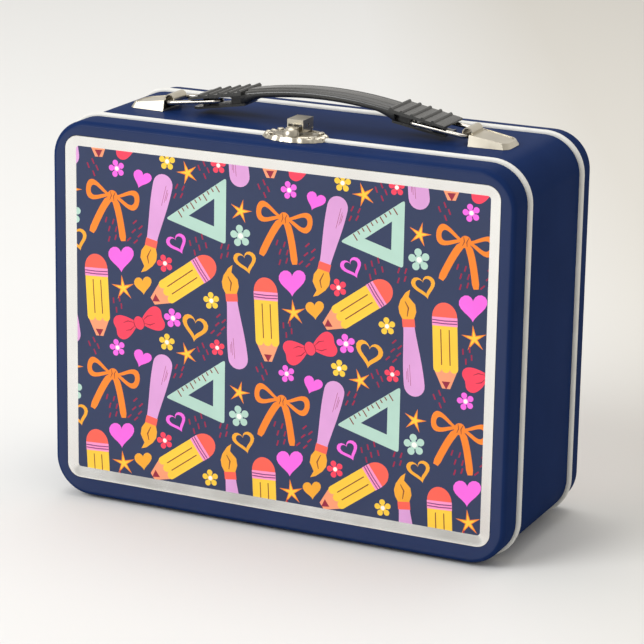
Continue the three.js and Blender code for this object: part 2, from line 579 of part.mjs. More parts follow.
const floorZ = BODY_TOP + SEAT;
const capTop = BODY_TOP + BRACKET_INNER_HEIGHT + DEEP;
const cap = cut(
  slabZ(bracketPlan(0, 0), floorZ, capTop).intersect(bracketWedge(0, BODY_TOP)),
  slabZ(bracketPlan(BRACKET_SHEET, LAP), floorZ + BRACKET_SHEET, capTop)
    .intersect(bracketWedge(BRACKET_SHEET, BODY_TOP)));
const bracketRight = join(cap, curl());
const mirrored = { left: (solid) => solid.mirror([1, 0, 0]), right: (solid) => solid };
for (const side of ['left', 'right']) {
  addPart(`handle_bracket_${side}`,
    cut(mirrored[side](bracketRight), ...rivetHoles(`bracket_${side}`)), nickel);
}

// --- Bails: bent wires, pivoting in the curls, whose hooked ends ride in the grip --------------
function bailPath() {
  const half = BAIL_HALF_WIDTH;
  const tip = half - BAIL_HOOK;
  const corner = (a, b, c) => new THREE.QuadraticBezierCurve3(a, b, c);
  const at = (x, y) => new THREE.Vector3(-x, y, 0);
  const path = new THREE.CurvePath();
  const bend = BAIL_BEND;
  path.add(new THREE.LineCurve3(at(BAIL_REACH, -tip), at(BAIL_REACH, -half + bend)));
  path.add(corner(at(BAIL_REACH, -half + bend), at(BAIL_REACH, -half), at(BAIL_REACH - bend, -half)));
  path.add(new THREE.LineCurve3(at(BAIL_REACH - bend, -half), at(bend, -half)));
  path.add(corner(at(bend, -half), at(0, -half), at(0, -half + bend)));
  path.add(new THREE.LineCurve3(at(0, -half + bend), at(0, half - bend)));
  path.add(corner(at(0, half - bend), at(0, half), at(bend, half)));
  path.add(new THREE.LineCurve3(at(bend, half), at(BAIL_REACH - bend, half)));
  path.add(corner(at(BAIL_REACH - bend, half), at(BAIL_REACH, half), at(BAIL_REACH, half - bend)));
  path.add(new THREE.LineCurve3(at(BAIL_REACH, half - bend), at(BAIL_REACH, tip)));
  return path;
}

const wireSection = new THREE.Shape();
wireSection.absarc(0, 0, WIRE_RADIUS, 0, Math.PI * 2, false);
const bailGeometry = new THREE.ExtrudeGeometry(wireSection, {
  steps: BAIL_STEPS, extrudePath: bailPath(), curveSegments: WIRE_STEPS,
});
bailGeometry.rotateY(THREE.MathUtils.degToRad(BAIL_REST_DEG));
bailGeometry.translate(BAIL_PIVOT_X, HANDLE_Y, BAIL_PIVOT_Z);
const bailRight = toSolid(bailGeometry);
for (const side of ['left', 'right']) {
  addPart(`handle_bail_${side}`, mirrored[side](bailRight), wireChrome);
}

// --- Grip: a moulded arch with ribbed ends, a lower plate under each end and a window between --
const rise = (value) => BODY_TOP + value;
const endSlope = (GRIP_SHOULDER_RISE - GRIP_TIP_RISE) / (GRIP_HALF_LENGTH - GRIP_ARCH_HALF);
const topAt = (x) => rise(GRIP_SHOULDER_RISE - endSlope * (x - GRIP_ARCH_HALF));
const underSlope = (GRIP_UNDER_RISE - GRIP_UNDER_TIP_RISE) / (GRIP_HALF_LENGTH - GRIP_ARCH_HALF);
const underAt = (x) => rise(GRIP_UNDER_RISE - underSlope * (x - GRIP_ARCH_HALF));

// Points of a shallow arch of the given crown height, from -half to half.
function archPoints(half, endZ, crownZ, count) {
  return Array.from({ length: count + 1 }, (_, i) => {
    const x = -half + (2 * half * i) / count;
    return [x, crownZ - (crownZ - endZ) * (x / half) ** 2];
  });
}

function gripSlab(points, halfWidth) {
  return slabY(polygon(points), HANDLE_Y - halfWidth, HANDLE_Y + halfWidth);
}

const archEnd = GRIP_ARCH_HALF + LAP;
const archTop = archPoints(archEnd, topAt(archEnd), rise(GRIP_TOP_RISE), GRIP_TOP_STEPS);
const archUnder = archPoints(GRIP_ARCH_HALF - GRIP_FOOT_INSET,
  topAt(GRIP_ARCH_HALF) - GRIP_END_THICKNESS, rise(GRIP_TOP_RISE - GRIP_THICKNESS),
  GRIP_UNDER_STEPS);
const footStart = GRIP_ARCH_HALF - GRIP_FOOT_LENGTH;
const footZ = underAt(GRIP_ARCH_HALF);
const arch = gripSlab([
  ...archTop,
  [archEnd, footZ], [GRIP_ARCH_HALF, footZ], [footStart, footZ + GRIP_FOOT_RISE],
  ...archUnder.reverse(),
  [-footStart, footZ + GRIP_FOOT_RISE], [-GRIP_ARCH_HALF, footZ], [-archEnd, footZ],
].reverse(), GRIP_HALF_WIDTH);

function gripEnd(sign) {
  const half = (points) => {
    const placed = points.map(([x, z]) => [sign * x, z]);
    return sign > 0 ? placed : placed.reverse();
  };
  const start = GRIP_ARCH_HALF - GRIP_END_LAP;
  const tip = GRIP_HALF_LENGTH;
  const lowerTip = tip - GRIP_LOWER_SHORT;
  const stop = GRIP_WINDOW_END + GRIP_STOP;
  const topPlate = gripSlab(half([
    [start, topAt(start) - GRIP_PLATE_ROOT], [tip, topAt(tip) - GRIP_PLATE],
    [tip, topAt(tip)], [start, topAt(start)]]), GRIP_END_HALF_WIDTH);
  const lowerPlate = gripSlab(half([
    [start, underAt(start)], [lowerTip, underAt(lowerTip)],
    [lowerTip, underAt(lowerTip) + GRIP_PLATE], [start, underAt(start) + GRIP_PLATE]]),
  GRIP_CORE_HALF_WIDTH);
  const root = gripSlab(half([
    [start, underAt(start)], [GRIP_WINDOW_START, underAt(GRIP_WINDOW_START)],
    [GRIP_WINDOW_START, topAt(GRIP_WINDOW_START) - GRIP_PLATE_LAP],
    [start, topAt(start) - GRIP_PLATE_LAP]]),
  GRIP_CORE_HALF_WIDTH);
  const stopRib = gripSlab(half([
    [GRIP_WINDOW_END, underAt(GRIP_WINDOW_END)], [stop, underAt(stop)],
    [stop, topAt(stop) - GRIP_PLATE_LAP],
    [GRIP_WINDOW_END, topAt(GRIP_WINDOW_END) - GRIP_PLATE_LAP]]),
  GRIP_CORE_HALF_WIDTH);
  const ribs = Array.from({ length: RIB_COUNT }, (_, i) => {
    const x = GRIP_ARCH_HALF + i * RIB_PITCH;
    const far = x + RIB_WIDTH;
    return gripSlab(half([
      [x, topAt(x) - GRIP_PLATE_LAP], [far, topAt(far) - GRIP_PLATE_LAP],
      [far, topAt(far) + RIB_HEIGHT], [x, topAt(x) + RIB_HEIGHT]]),
    GRIP_END_HALF_WIDTH);
  });
  return join(topPlate, lowerPlate, root, stopRib, ...ribs);
}

addPart('handle_grip',
  join(arch, gripEnd(-1), gripEnd(1)).translate([GRIP_SHIFT, 0, 0]), gripPlastic);

// --- Rivets ------------------------------------------------------------------------------------
for (const one of rivets) addPart(one.name, rivetSolid(one), nickel);

export default parts;
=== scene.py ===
import json
import math

import bmesh
import bpy
from mathutils import Matrix, Vector, geometry


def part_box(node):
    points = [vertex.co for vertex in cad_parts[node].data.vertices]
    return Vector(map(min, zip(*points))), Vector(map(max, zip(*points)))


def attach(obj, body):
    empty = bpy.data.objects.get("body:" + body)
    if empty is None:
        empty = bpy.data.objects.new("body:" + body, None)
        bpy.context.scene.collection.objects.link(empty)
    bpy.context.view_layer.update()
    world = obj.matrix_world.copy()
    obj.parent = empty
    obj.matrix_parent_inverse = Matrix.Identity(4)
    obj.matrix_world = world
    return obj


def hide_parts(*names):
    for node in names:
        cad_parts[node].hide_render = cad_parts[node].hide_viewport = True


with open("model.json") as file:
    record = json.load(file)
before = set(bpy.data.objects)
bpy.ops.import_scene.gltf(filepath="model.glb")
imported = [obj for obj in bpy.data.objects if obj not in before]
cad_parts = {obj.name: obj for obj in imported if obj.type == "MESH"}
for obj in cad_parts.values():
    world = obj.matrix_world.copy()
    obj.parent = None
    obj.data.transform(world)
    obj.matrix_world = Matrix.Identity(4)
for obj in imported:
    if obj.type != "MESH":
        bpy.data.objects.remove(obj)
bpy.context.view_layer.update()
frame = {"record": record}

MM = 0.001


# === Studio ==================================================================================
# The set is a pale seamless floor, with a painted shadow that darkens and warms it behind and right
# of the box, under one wide soft lamp at the left, a weaker one above and a dim grey room. The
# camera stands at the right front, a little above the handle.

CAMERA_PLACE = (0.5122, -1.0998, 0.4356)
CAMERA_AZIMUTH = math.radians(24.892)
CAMERA_ELEVATION = math.radians(16.12)
CAMERA_ROLL = math.radians(0.961)
LENS_MM = 157.5
SENSOR_MM = 36.0
ROOM_FRONT = 0.44
ROOM_BACK = 0.84
ROOM_TINT = (1.0, 0.975, 0.935, 1)

bpy.context.scene.view_settings.view_transform = "Standard"


def camera_turn(azimuth, elevation, roll):
    """Rotation of a camera that looks back along azimuth and elevation, then rolls."""
    back = Vector((math.sin(azimuth) * math.cos(elevation),
                   -math.cos(azimuth) * math.cos(elevation), math.sin(elevation)))
    right = (-back).cross(Vector((0, 0, 1))).normalized()
    up = right.cross(-back)
    side = right * math.cos(roll) + up * math.sin(roll)
    top = up * math.cos(roll) - right * math.sin(roll)
    return Matrix((side, top, back)).transposed()


camera_data = bpy.data.cameras.new("camera")
camera_data.lens = LENS_MM
camera_data.sensor_width = SENSOR_MM
camera_data.clip_end = 50
camera = bpy.data.objects.new("camera", camera_data)
camera.matrix_world = Matrix.Translation(CAMERA_PLACE) @ camera_turn(
    CAMERA_AZIMUTH, CAMERA_ELEVATION, CAMERA_ROLL).to_4x4()
bpy.context.collection.objects.link(camera)
bpy.context.scene.camera = camera


def soft_lamp(name, place, aim, size, watts, colour):
    data = bpy.data.lights.new(name, "AREA")
    data.shape = "DISK"
    data.size = size
    data.energy = watts
    data.color = colour
    lamp = bpy.data.objects.new(name, data)
    lamp.location = place
    lamp.rotation_euler = (Vector(aim) - Vector(place)).to_track_quat("-Z", "Y").to_euler()
    bpy.context.collection.objects.link(lamp)


soft_lamp("key_lamp", place=(-1.57, -2.32, 2.02), aim=(0, 0, 0.05), size=2.1, watts=80,
          colour=(0.985, 0.993, 1.0))
soft_lamp("top_lamp", place=(-0.2, 0.3, 1.9), aim=(0, 0, 0), size=1.6, watts=13,
          colour=(1.0, 0.99, 0.98))


def add_node(tree, kind, values=(), **settings):
    """A shader node with its settings, and (socket, value) pairs for its inputs."""
    made = tree.nodes.new(kind)
    for name, value in settings.items():
        setattr(made, name, value)
    for socket, value in values:
        made.inputs[socket].default_value = value
    return made


room = bpy.data.worlds.new("grey_room")
room.use_nodes = True
sky = room.node_tree
sky.nodes.clear()
toward = add_node(sky, "ShaderNodeTexCoord")
split = add_node(sky, "ShaderNodeSeparateXYZ")
sky.links.new(toward.outputs["Generated"], split.inputs[0])
depth_tone = add_node(sky, "ShaderNodeMapRange", [("From Min", -0.8), ("From Max", 0.6),
                                                  ("To Min", ROOM_FRONT), ("To Max", ROOM_BACK)])
sky.links.new(split.outputs["Y"], depth_tone.inputs["Value"])
backdrop = add_node(sky, "ShaderNodeBackground", [("Color", ROOM_TINT)])
sky.links.new(depth_tone.outputs[0], backdrop.inputs["Strength"])
output = add_node(sky, "ShaderNodeOutputWorld")
sky.links.new(backdrop.outputs[0], output.inputs[0])
bpy.context.scene.world = room

FLOOR_HALF = 9.0
FLOOR_NEAR = (0.75, 0.75, 0.74, 1)
# The second floor colour is a painted shadow: darker and warmer, laid where the box's shadow falls.
FLOOR_PAINTED_SHADE = (0.65, 0.63, 0.585, 1)


def new_material(name):
    made = bpy.data.materials.new(name)
    made.use_nodes = True
    made.node_tree.nodes.clear()
    shader = add_node(made.node_tree, "ShaderNodeBsdfPrincipled")
    end = add_node(made.node_tree, "ShaderNodeOutputMaterial")
    made.node_tree.links.new(shader.outputs[0], end.inputs[0])
    return made, made.node_tree, shader


def mesh_object(name, points, faces, materials):
    """A mesh object, in metres, from points and faces."""
    mesh = bpy.data.meshes.new(name)
    mesh.from_pydata([tuple(point) for point in points], [], faces)
    for one in materials:
        mesh.materials.append(one)
    mesh.validate()
    mesh.update()
    made = bpy.data.objects.new(name, mesh)
    bpy.context.collection.objects.link(made)
    return made


def smooth(piece, crease_degrees=38):
    piece.data.shade_smooth()
    piece.data.set_sharp_from_angle(angle=math.radians(crease_degrees))


floor_paint, floor_tree, floor_shader = new_material("floor_paper")
floor_place = add_node(floor_tree, "ShaderNodeTexCoord")
# Painted shadow: the floor turns to its darker, warmer colour towards the right of and behind the
# box.
floor_reach = add_node(floor_tree, "ShaderNodeVectorMath", [(1, (1.0, 0.5, 0.0))],
                       operation="DOT_PRODUCT")
floor_shade_share = add_node(floor_tree, "ShaderNodeMapRange", [("From Min", 0.08), ("From Max", 0.25)])
floor_shade_mix = add_node(floor_tree, "ShaderNodeMix", data_type="RGBA")
floor_shade_mix.inputs["A"].default_value = FLOOR_NEAR
floor_shade_mix.inputs["B"].default_value = FLOOR_PAINTED_SHADE
floor_tree.links.new(floor_place.outputs["Object"], floor_reach.inputs[0])
floor_tree.links.new(floor_reach.outputs["Value"], floor_shade_share.inputs["Value"])
floor_tree.links.new(floor_shade_share.outputs[0], floor_shade_mix.inputs["Factor"])
floor_tree.links.new(floor_shade_mix.outputs["Result"], floor_shader.inputs["Base Color"])
floor_shader.inputs["Roughness"].default_value = 0.9
floor_shader.inputs["Specular IOR Level"].default_value = 0.1
floor = mesh_object("floor", [(-FLOOR_HALF, -FLOOR_HALF, 0), (FLOOR_HALF, -FLOOR_HALF, 0),
                              (FLOOR_HALF, FLOOR_HALF, 0), (-FLOOR_HALF, FLOOR_HALF, 0)],
                    [(0, 1, 2, 3)], [floor_paint])


# === Centre band =============================================================================
# The deep middle of the box is one strip of tinplate rolled into a rounded rectangle, navy
# enamel outside and bare tin inside. Both edges step in to make necks for the beads and shells.

SHEET = 0.35 * MM
NECK_DROP = 1.2 * MM
STEP_ROUND = 0.5 * MM
CORNER_RADIUS = 17 * MM
BEAD_HALF = 1.6 * MM
SEAT = 0.1 * MM
CORNER_STEPS = 14

band_low, band_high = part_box("centre_band")
body = (band_high.x, band_low.z, band_high.z, CORNER_RADIUS)


def inset(outline, amount):
    half, low, high, radius = outline
    return (half - amount, low + amount, high - amount, max(radius - amount, 0.05 * MM))


def ring(outline, y):
    """Points round a rounded rectangle (half width, low, high, radius) at depth y."""
    half, low, high, radius = outline
    corners = ((half - radius, low + radius, -90), (half - radius, high - radius, 0),
               (radius - half, high - radius, 90), (radius - half, low + radius, 180))
    points = []
    for x, z, start in corners:
        for step in range(CORNER_STEPS + 1):
            angle = math.radians(start + 90 * step / CORNER_STEPS)
            points.append((x + radius * math.cos(angle), y, z + radius * math.sin(angle)))
    return points


def hoop(name, rings, paints, closed=True):
    """Joins rings into a skin: closed on itself, or with its first and last rings capped.

    paints lists (material, first strip) pairs in order along the section."""
    count = len(rings[0])
    points = [point for one in rings for point in one]
    strips = len(rings) if closed else len(rings) - 1
    faces = []
    marks = []
    starts = [first for _, first in paints]
    for strip in range(strips):
        here = strip * count
        there = (strip + 1) % len(rings) * count
        slot = max(i for i, first in enumerate(starts) if first <= strip)
        for step in range(count):
            after = (step + 1) % count
            faces.append((here + step, here + after, there + after, there + step))
            marks.append(slot)
    if not closed:
        faces.append(tuple(range(count - 1, -1, -1)))
        marks.append(0)
        faces.append(tuple((len(rings) - 1) * count + step for step in range(count)))
        marks.append(len(paints) - 1)
    made = mesh_object(name, points, faces, [material for material, _ in paints])
    made.data.polygons.foreach_set("material_index", marks)
    return made


def fair_normals(piece):
    """Turns every face outwards."""
    work = bmesh.new()
    work.from_mesh(piece.data)
    bmesh.ops.recalc_face_normals(work, faces=work.faces)
    work.to_mesh(piece.data)
    work.free()


def make_grain_group():
    """Slow and fast mottling of a coated sheet: a tone from 0 to 1 and a height."""
    group = bpy.data.node_groups.new("coating_grain", "ShaderNodeTree")
    face = group.interface
    face.new_socket("Patch Scale", in_out="INPUT", socket_type="NodeSocketFloat")
    face.new_socket("Grain Scale", in_out="INPUT", socket_type="NodeSocketFloat")
    face.new_socket("Tone", in_out="OUTPUT", socket_type="NodeSocketFloat")
    face.new_socket("Height", in_out="OUTPUT", socket_type="NodeSocketFloat")
    enter = add_node(group, "NodeGroupInput")
    leave = add_node(group, "NodeGroupOutput")
    place = add_node(group, "ShaderNodeTexCoord")
    patch = add_node(group, "ShaderNodeTexNoise", [("Detail", 3.0), ("Roughness", 0.55)])
    grain = add_node(group, "ShaderNodeTexNoise", [("Detail", 2.0)])
    widen = add_node(group, "ShaderNodeMapRange", [("From Min", 0.3), ("From Max", 0.7)])
    for texture, socket in ((patch, "Patch Scale"), (grain, "Grain Scale")):
        group.links.new(place.outputs["Object"], texture.inputs["Vector"])
        group.links.new(enter.outputs[socket], texture.inputs["Scale"])
    group.links.new(patch.outputs["Fac"], widen.inputs["Value"])
    group.links.new(widen.outputs[0], leave.inputs["Tone"])
    group.links.new(grain.outputs["Fac"], leave.inputs["Height"])
    return group


coating_grain = make_grain_group()


def grained(name, rough, metal, patch, grain, bump, specular=0.5, depth=0.05 * MM):
    """A material whose gloss drifts and whose face is lightly pitted with the coating's grain."""
    made, tree, shader = new_material(name)
    texture = add_node(tree, "ShaderNodeGroup", node_tree=coating_grain)
    texture.inputs["Patch Scale"].default_value = patch
    texture.inputs["Grain Scale"].default_value = grain
    gloss = add_node(tree, "ShaderNodeMapRange", [("To Min", rough[0]), ("To Max", rough[1])])
    relief = add_node(tree, "ShaderNodeBump", [("Strength", bump), ("Distance", depth)])
    tree.links.new(texture.outputs["Tone"], gloss.inputs["Value"])
    tree.links.new(texture.outputs["Height"], relief.inputs["Height"])
    tree.links.new(gloss.outputs[0], shader.inputs["Roughness"])
    tree.links.new(relief.outputs[0], shader.inputs["Normal"])
    shader.inputs["Metallic"].default_value = metal
    shader.inputs["Specular IOR Level"].default_value = specular
    return made, tree, shader, texture


def coated(name, dark, light, **finish_values):
    """A coated or plated sheet: its colour drifts between two values with the grain."""
    made, tree, shader, texture = grained(name, **finish_values)
    tint = add_node(tree, "ShaderNodeMix", data_type="RGBA")
    tint.inputs["A"].default_value = (*dark, 1)
    tint.inputs["B"].default_value = (*light, 1)
    tree.links.new(texture.outputs["Tone"], tint.inputs["Factor"])
    tree.links.new(tint.outputs["Result"], shader.inputs["Base Color"])
    return made


def add_varnish(material, face_weight, top_weight, edge_weight=0.05):
    """Clear varnish that lies on the broad faces and the top, and hardly on the ends."""
    tree = material.node_tree
    shader = next(node for node in tree.nodes if node.type == "BSDF_PRINCIPLED")
    place = add_node(tree, "ShaderNodeTexCoord")
    split = add_node(tree, "ShaderNodeSeparateXYZ")
    depth = add_node(tree, "ShaderNodeMath", operation="ABSOLUTE")
    face = add_node(tree, "ShaderNodeMapRange", [("From Min", 0.93), ("From Max", 0.995),
                                                 ("To Min", edge_weight), ("To Max", face_weight)])
    top = add_node(tree, "ShaderNodeMapRange", [("From Min", 0.85), ("From Max", 0.98),
                                                ("To Max", top_weight)])
    both = add_node(tree, "ShaderNodeMath", operation="MAXIMUM")
    tree.links.new(place.outputs["Normal"], split.inputs[0])
    tree.links.new(split.outputs["Y"], depth.inputs[0])
    tree.links.new(depth.outputs[0], face.inputs["Value"])
    tree.links.new(split.outputs["Z"], top.inputs["Value"])
    tree.links.new(face.outputs[0], both.inputs[0])
    tree.links.new(top.outputs[0], both.inputs[1])
    tree.links.new(both.outputs[0], shader.inputs["Coat Weight"])
    shader.inputs["Coat Roughness"].default_value = 0.28


navy_enamel = coated("navy_enamel", (0.0085, 0.0225, 0.086), (0.0105, 0.0265, 0.098),
                     rough=(0.3, 0.38), metal=0.0, patch=35, grain=2200, bump=0.12, specular=0.0)
add_varnish(navy_enamel, face_weight=0.7, top_weight=0.12)
bare_tin = coated("bare_tin", (0.62, 0.61, 0.58), (0.72, 0.71, 0.68),
                  rough=(0.32, 0.45), metal=1.0, patch=60, grain=3000, bump=0.1)


def fold(start, corner, end, steps=4):
    """Points of a small rounded bend from start to end, drawn towards corner."""
    bend = []
    for step in range(steps + 1):
        t = step / steps
        bend.append(tuple((1 - t) ** 2 * a + 2 * t * (1 - t) * b + t * t * c
                          for a, b, c in zip(start, corner, end)))
    return bend


def band_section():
    """(inset, y) pairs round the band's section, outside first."""
    front_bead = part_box("front_rim_bead_hoop")[0].y + BEAD_HALF
    rear_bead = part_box("rear_rim_bead")[0].y + BEAD_HALF
    front = front_bead + BEAD_HALF + SEAT
    rear = rear_bead - BEAD_HALF - SEAT
    turn = STEP_ROUND
    outside = [(NECK_DROP, band_low.y), (NECK_DROP, front),
               *fold((turn, front), (0, front), (0, front + turn)),
               *fold((0, rear - turn), (0, rear), (turn, rear)),
               (NECK_DROP, rear), (NECK_DROP, band_high.y)]
    inside = [(NECK_DROP + SHEET, band_high.y), (NECK_DROP + SHEET, rear - SHEET),
              (SHEET, rear - SHEET), (SHEET, front + SHEET),
              (NECK_DROP + SHEET, front + SHEET), (NECK_DROP + SHEET, band_low.y)]
    return outside, inside


outside, inside = band_section()
band = hoop("enamelled_band", [ring(inset(body, s), y) for s, y in outside + inside],
            [(bare_tin, 0), (navy_enamel, 1), (bare_tin, len(outside) - 2)])
fair_normals(band)
smooth(band)
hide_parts("centre_band")
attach(band, "case")


# === Shells ==================================================================================
# The lid and the back are one drawn pan used twice: navy enamel outside with a soft pressed
# edge and a sunk floor for the picture panel, bare tin inside, with a plain cut rim.

EDGE_RADIUS = 2.6 * MM
EDGE_STEPS = 8
PANEL_SHEET = 0.35 * MM
PANEL_RECESS = 1.2 * MM
PANEL_CLEARANCE = 0.15 * MM
FRAME_RADIUS = 6.5 * MM
FLOOR_LEDGE = 12 * MM


def rounded_edge(outer, radius, face):
    """(inset, depth) pairs round a quarter bend from the side wall to the face."""
    bend = []
    for step in range(EDGE_STEPS + 1):
        angle = math.radians(90 * step / EDGE_STEPS)
        bend.append((outer + radius * (1 - math.cos(angle)),
                     face + radius * (1 - math.sin(angle))))
    return bend


def panel_outline(node):
    low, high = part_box(node)
    return (high.x, low.z, high.z, FRAME_RADIUS)


def make_shell(name, node, panel, face, rim, body_name):
    """A pan whose face lies at depth face and whose rim is cut at depth rim."""
    inward = 1 if rim > face else -1
    pocket = inset(panel_outline(panel), -PANEL_CLEARANCE)
    depth = PANEL_RECESS + PANEL_SHEET + SEAT
    rings = [ring(body, rim)]
    rings += [ring(inset(body, s), face + inward * d)
              for s, d in rounded_edge(0, EDGE_RADIUS, 0)]
    rings += [ring(pocket, face), ring(pocket, face + inward * depth),
              ring(inset(pocket, FLOOR_LEDGE), face + inward * depth),
              ring(inset(pocket, FLOOR_LEDGE), face + inward * (depth + SHEET)),
              ring(inset(pocket, -SHEET), face + inward * (depth + SHEET)),
              ring(inset(pocket, -SHEET), face + inward * SHEET)]
    rings += [ring(inset(body, s), face + inward * d)
              for s, d in reversed(rounded_edge(SHEET, EDGE_RADIUS - SHEET, SHEET))]
    rings += [ring(inset(body, SHEET), rim)]
    floor_strip = EDGE_STEPS + 4
    made = hoop(name, rings, [(navy_enamel, 0), (bare_tin, floor_strip)])
    close_floor(made, len(rings[0]), floor_strip)
    fair_normals(made)
    smooth(made)
    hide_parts(node)
    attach(made, body_name)
    return made


def close_floor(piece, count, strip):
    """Swaps the strip that would line a hole in the floor for a plain front and back sheet."""
    work = bmesh.new()
    work.from_mesh(piece.data)
    work.verts.ensure_lookup_table()
    first = {work.verts[strip * count + step] for step in range(count)}
    second = {work.verts[(strip + 1) * count + step] for step in range(count)}
    lining = [face for face in work.faces if all(v in first or v in second for v in face.verts)]
    bmesh.ops.delete(work, geom=lining, context="FACES_ONLY")
    work.verts.ensure_lookup_table()
    front = [work.verts[strip * count + step] for step in range(count)]
    back = [work.verts[(strip + 1) * count + step] for step in range(count)]
    work.faces.new(front).material_index = 0
    work.faces.new(back).material_index = 1
    work.to_mesh(piece.data)
    work.free()


lid_low, lid_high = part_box("front_lid")
back_low, back_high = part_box("rear_shell")
make_shell("enamelled_lid", "front_lid", "front_picture_panel", lid_low.y, lid_high.y, "lid")
make_shell("enamelled_back", "rear_shell", "rear_picture_panel", back_high.y, back_low.y, "case")


# === Rim beads ===============================================================================
# White lacquered wire-rolled beads hide both joints between band and shells. Each one is a
# rounded hoop with a fine rolled line along its crown; the front one is cut at the hinges.

bead_lacquer = coated("bead_lacquer", (0.66, 0.655, 0.62), (0.74, 0.735, 0.7),
                      rough=(0.28, 0.4), metal=0.0, patch=90, grain=2600, bump=0.15,
                      specular=0.4)
BEAD_STEPS = 12
BEAD_LINE = 0.16 * MM
BEAD_FOOT = 0.3 * MM
HINGE_AIR = 0.6 * MM


def bead_section(node):
    low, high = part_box(node)
    middle = (low.y + high.y) / 2
    half = (high.y - low.y) / 2
    proud = high.x - body[0]
    under = NECK_DROP - SEAT
    section = [(under, middle + half), (BEAD_FOOT, middle + half)]
    for step in range(1, BEAD_STEPS):
        angle = math.pi * step / BEAD_STEPS
        groove = BEAD_LINE * math.exp(-((math.cos(angle) - 0.1) / 0.13) ** 2)
        section.append((-proud * math.sin(angle) ** 0.8 + groove, middle + half * math.cos(angle)))
    section += [(BEAD_FOOT, middle - half), (under, middle - half)]
    return section


def make_bead(name, node):
    made = hoop(name, [ring(inset(body, s), y) for s, y in bead_section(node)],
                [(bead_lacquer, 0)])
    fair_normals(made)
    return made


def box_object(name, low, high):
    corners = [(x, y, z) for x in (low[0], high[0]) for y in (low[1], high[1])
               for z in (low[2], high[2])]
    faces = [(0, 1, 3, 2), (4, 6, 7, 5), (0, 4, 5, 1), (2, 3, 7, 6), (0, 2, 6, 4), (1, 5, 7, 3)]
    return mesh_object(name, corners, faces, [])


def combine(piece, tool, how):
    """Joins a tool solid to a piece, cuts it away, or keeps only what they share."""
    step = piece.modifiers.new("combine", "BOOLEAN")
    step.operation = how
    step.solver = "EXACT"
    step.object = tool
    bpy.context.view_layer.update()
    solid = piece.evaluated_get(bpy.context.evaluated_depsgraph_get())
    piece.data = bpy.data.meshes.new_from_object(solid)
    piece.modifiers.clear()
    bpy.data.objects.remove(tool)


rear_bead = make_bead("rear_bead", "rear_rim_bead")
front_hoop = make_bead("front_bead", "front_rim_bead_hoop")
front_foot = make_bead("front_bead_foot", "front_rim_bead_hoop")
foot_low, foot_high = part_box("front_rim_bead_foot")
leaf_half = (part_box("hinge_right_body_leaf")[1].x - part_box("hinge_right_body_leaf")[0].x) / 2
gap_far = foot_high.x + 2 * leaf_half + HINGE_AIR
below = (foot_low.y - MM, foot_low.z - MM)
above = (foot_high.y + MM, foot_high.z + MM)
combine(front_hoop, box_object("gap", (-gap_far, *below), (gap_far, *above)), "DIFFERENCE")
combine(front_foot, box_object("gap", (foot_low.x, *below), (foot_high.x, *above)), "INTERSECT")
for piece, node in ((rear_bead, "rear_rim_bead"), (front_hoop, "front_rim_bead_hoop"),
                    (front_foot, "front_rim_bead_foot")):
    smooth(piece, 50)
    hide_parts(node)
    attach(piece, "case")


# === Picture panels ==========================================================================
# Each broad side carries a separate dished sheet of bright satin tin, crimped behind the face.
# Its bare sloping margin frames a flat picture area that lies just below the enamelled border.

rim_tin = coated("rim_tin", (0.84, 0.83, 0.8), (0.9, 0.89, 0.865),
                 rough=(0.2, 0.28), metal=1.0, patch=45, grain=3500, bump=0.12)
MARGIN = 4.9 * MM
MARGIN_STEPS = 3
LIP_CORNER = (0.1 * MM, 0.04 * MM)
LIP_FLAT = 0.2 * MM
LIP_DROP = 0.02 * MM
INK = 0.03 * MM


def make_frame(name, node, body_name):
    """The dished sheet: a rounded lip, the sloping margin and the flat that takes the picture."""
    low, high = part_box(node)
    outline = panel_outline(node)
    face = low.y if low.y < 0 else high.y
    inward = 1 if low.y < 0 else -1
    flat = inset(outline, MARGIN)
    front = [(0, PANEL_SHEET), LIP_CORNER, (PANEL_SHEET, 0)]
    slope_start = PANEL_SHEET + LIP_FLAT
    for step in range(MARGIN_STEPS + 1):
        t = step / MARGIN_STEPS
        front.append((slope_start + (MARGIN - slope_start) * t,
                      LIP_DROP + (PANEL_RECESS - LIP_DROP) * t))
    rings = [ring(flat, face + inward * (PANEL_RECESS + PANEL_SHEET)),
             ring(outline, face + inward * 2 * PANEL_SHEET)]
    rings += [ring(inset(outline, s), face + inward * d) for s, d in front]
    made = hoop(name, rings, [(rim_tin, 0)], closed=False)
    fair_normals(made)
    smooth(made, 12)
    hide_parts(node)
    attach(made, body_name)
    return made


make_frame("front_panel_sheet", "front_picture_panel", "lid")
make_frame("rear_panel_sheet", "rear_picture_panel", "case")


# === Printed picture =========================================================================
# The picture is lithographed school things in flat inks on slate navy: one repeat of pencils,
# brushes, set squares, bows, hearts, stars and flowers, laid edge to edge under clear varnish.


def ink_colour(red, green, blue):
    """Screen values from 0 to 255 as linear light."""
    return tuple((value / 255 / 12.92) if value <= 10 else ((value / 255 + 0.055) / 1.055) ** 2.4
                 for value in (red, green, blue))


INKS = {
    "ground": ink_colour(42, 54, 88), "lilac": ink_colour(222, 160, 216),
    "pink": ink_colour(250, 105, 226), "orange": ink_colour(250, 134, 36),
    "yellow": ink_colour(252, 204, 62), "amber": ink_colour(246, 170, 46),
    "coral": ink_colour(252, 64, 92), "eraser": ink_colour(252, 98, 82),
    "mint": ink_colour(180, 214, 200), "peach": ink_colour(250, 158, 116),
    "umber": ink_colour(128, 58, 40), "dash": ink_colour(158, 20, 66),
    "white": ink_colour(248, 246, 240), "wine": ink_colour(150, 32, 60),
    "blush": ink_colour(252, 150, 200), "plum": ink_colour(130, 60, 120),
}


def oval(x, y, wide, tall, count=20, start=0.0, sweep=360.0):
    steps = count if sweep == 360.0 else count + 1
    return [(x + wide * math.cos(math.radians(start + sweep * i / count)),
             y + tall * math.sin(math.radians(start + sweep * i / count))) for i in range(steps)]


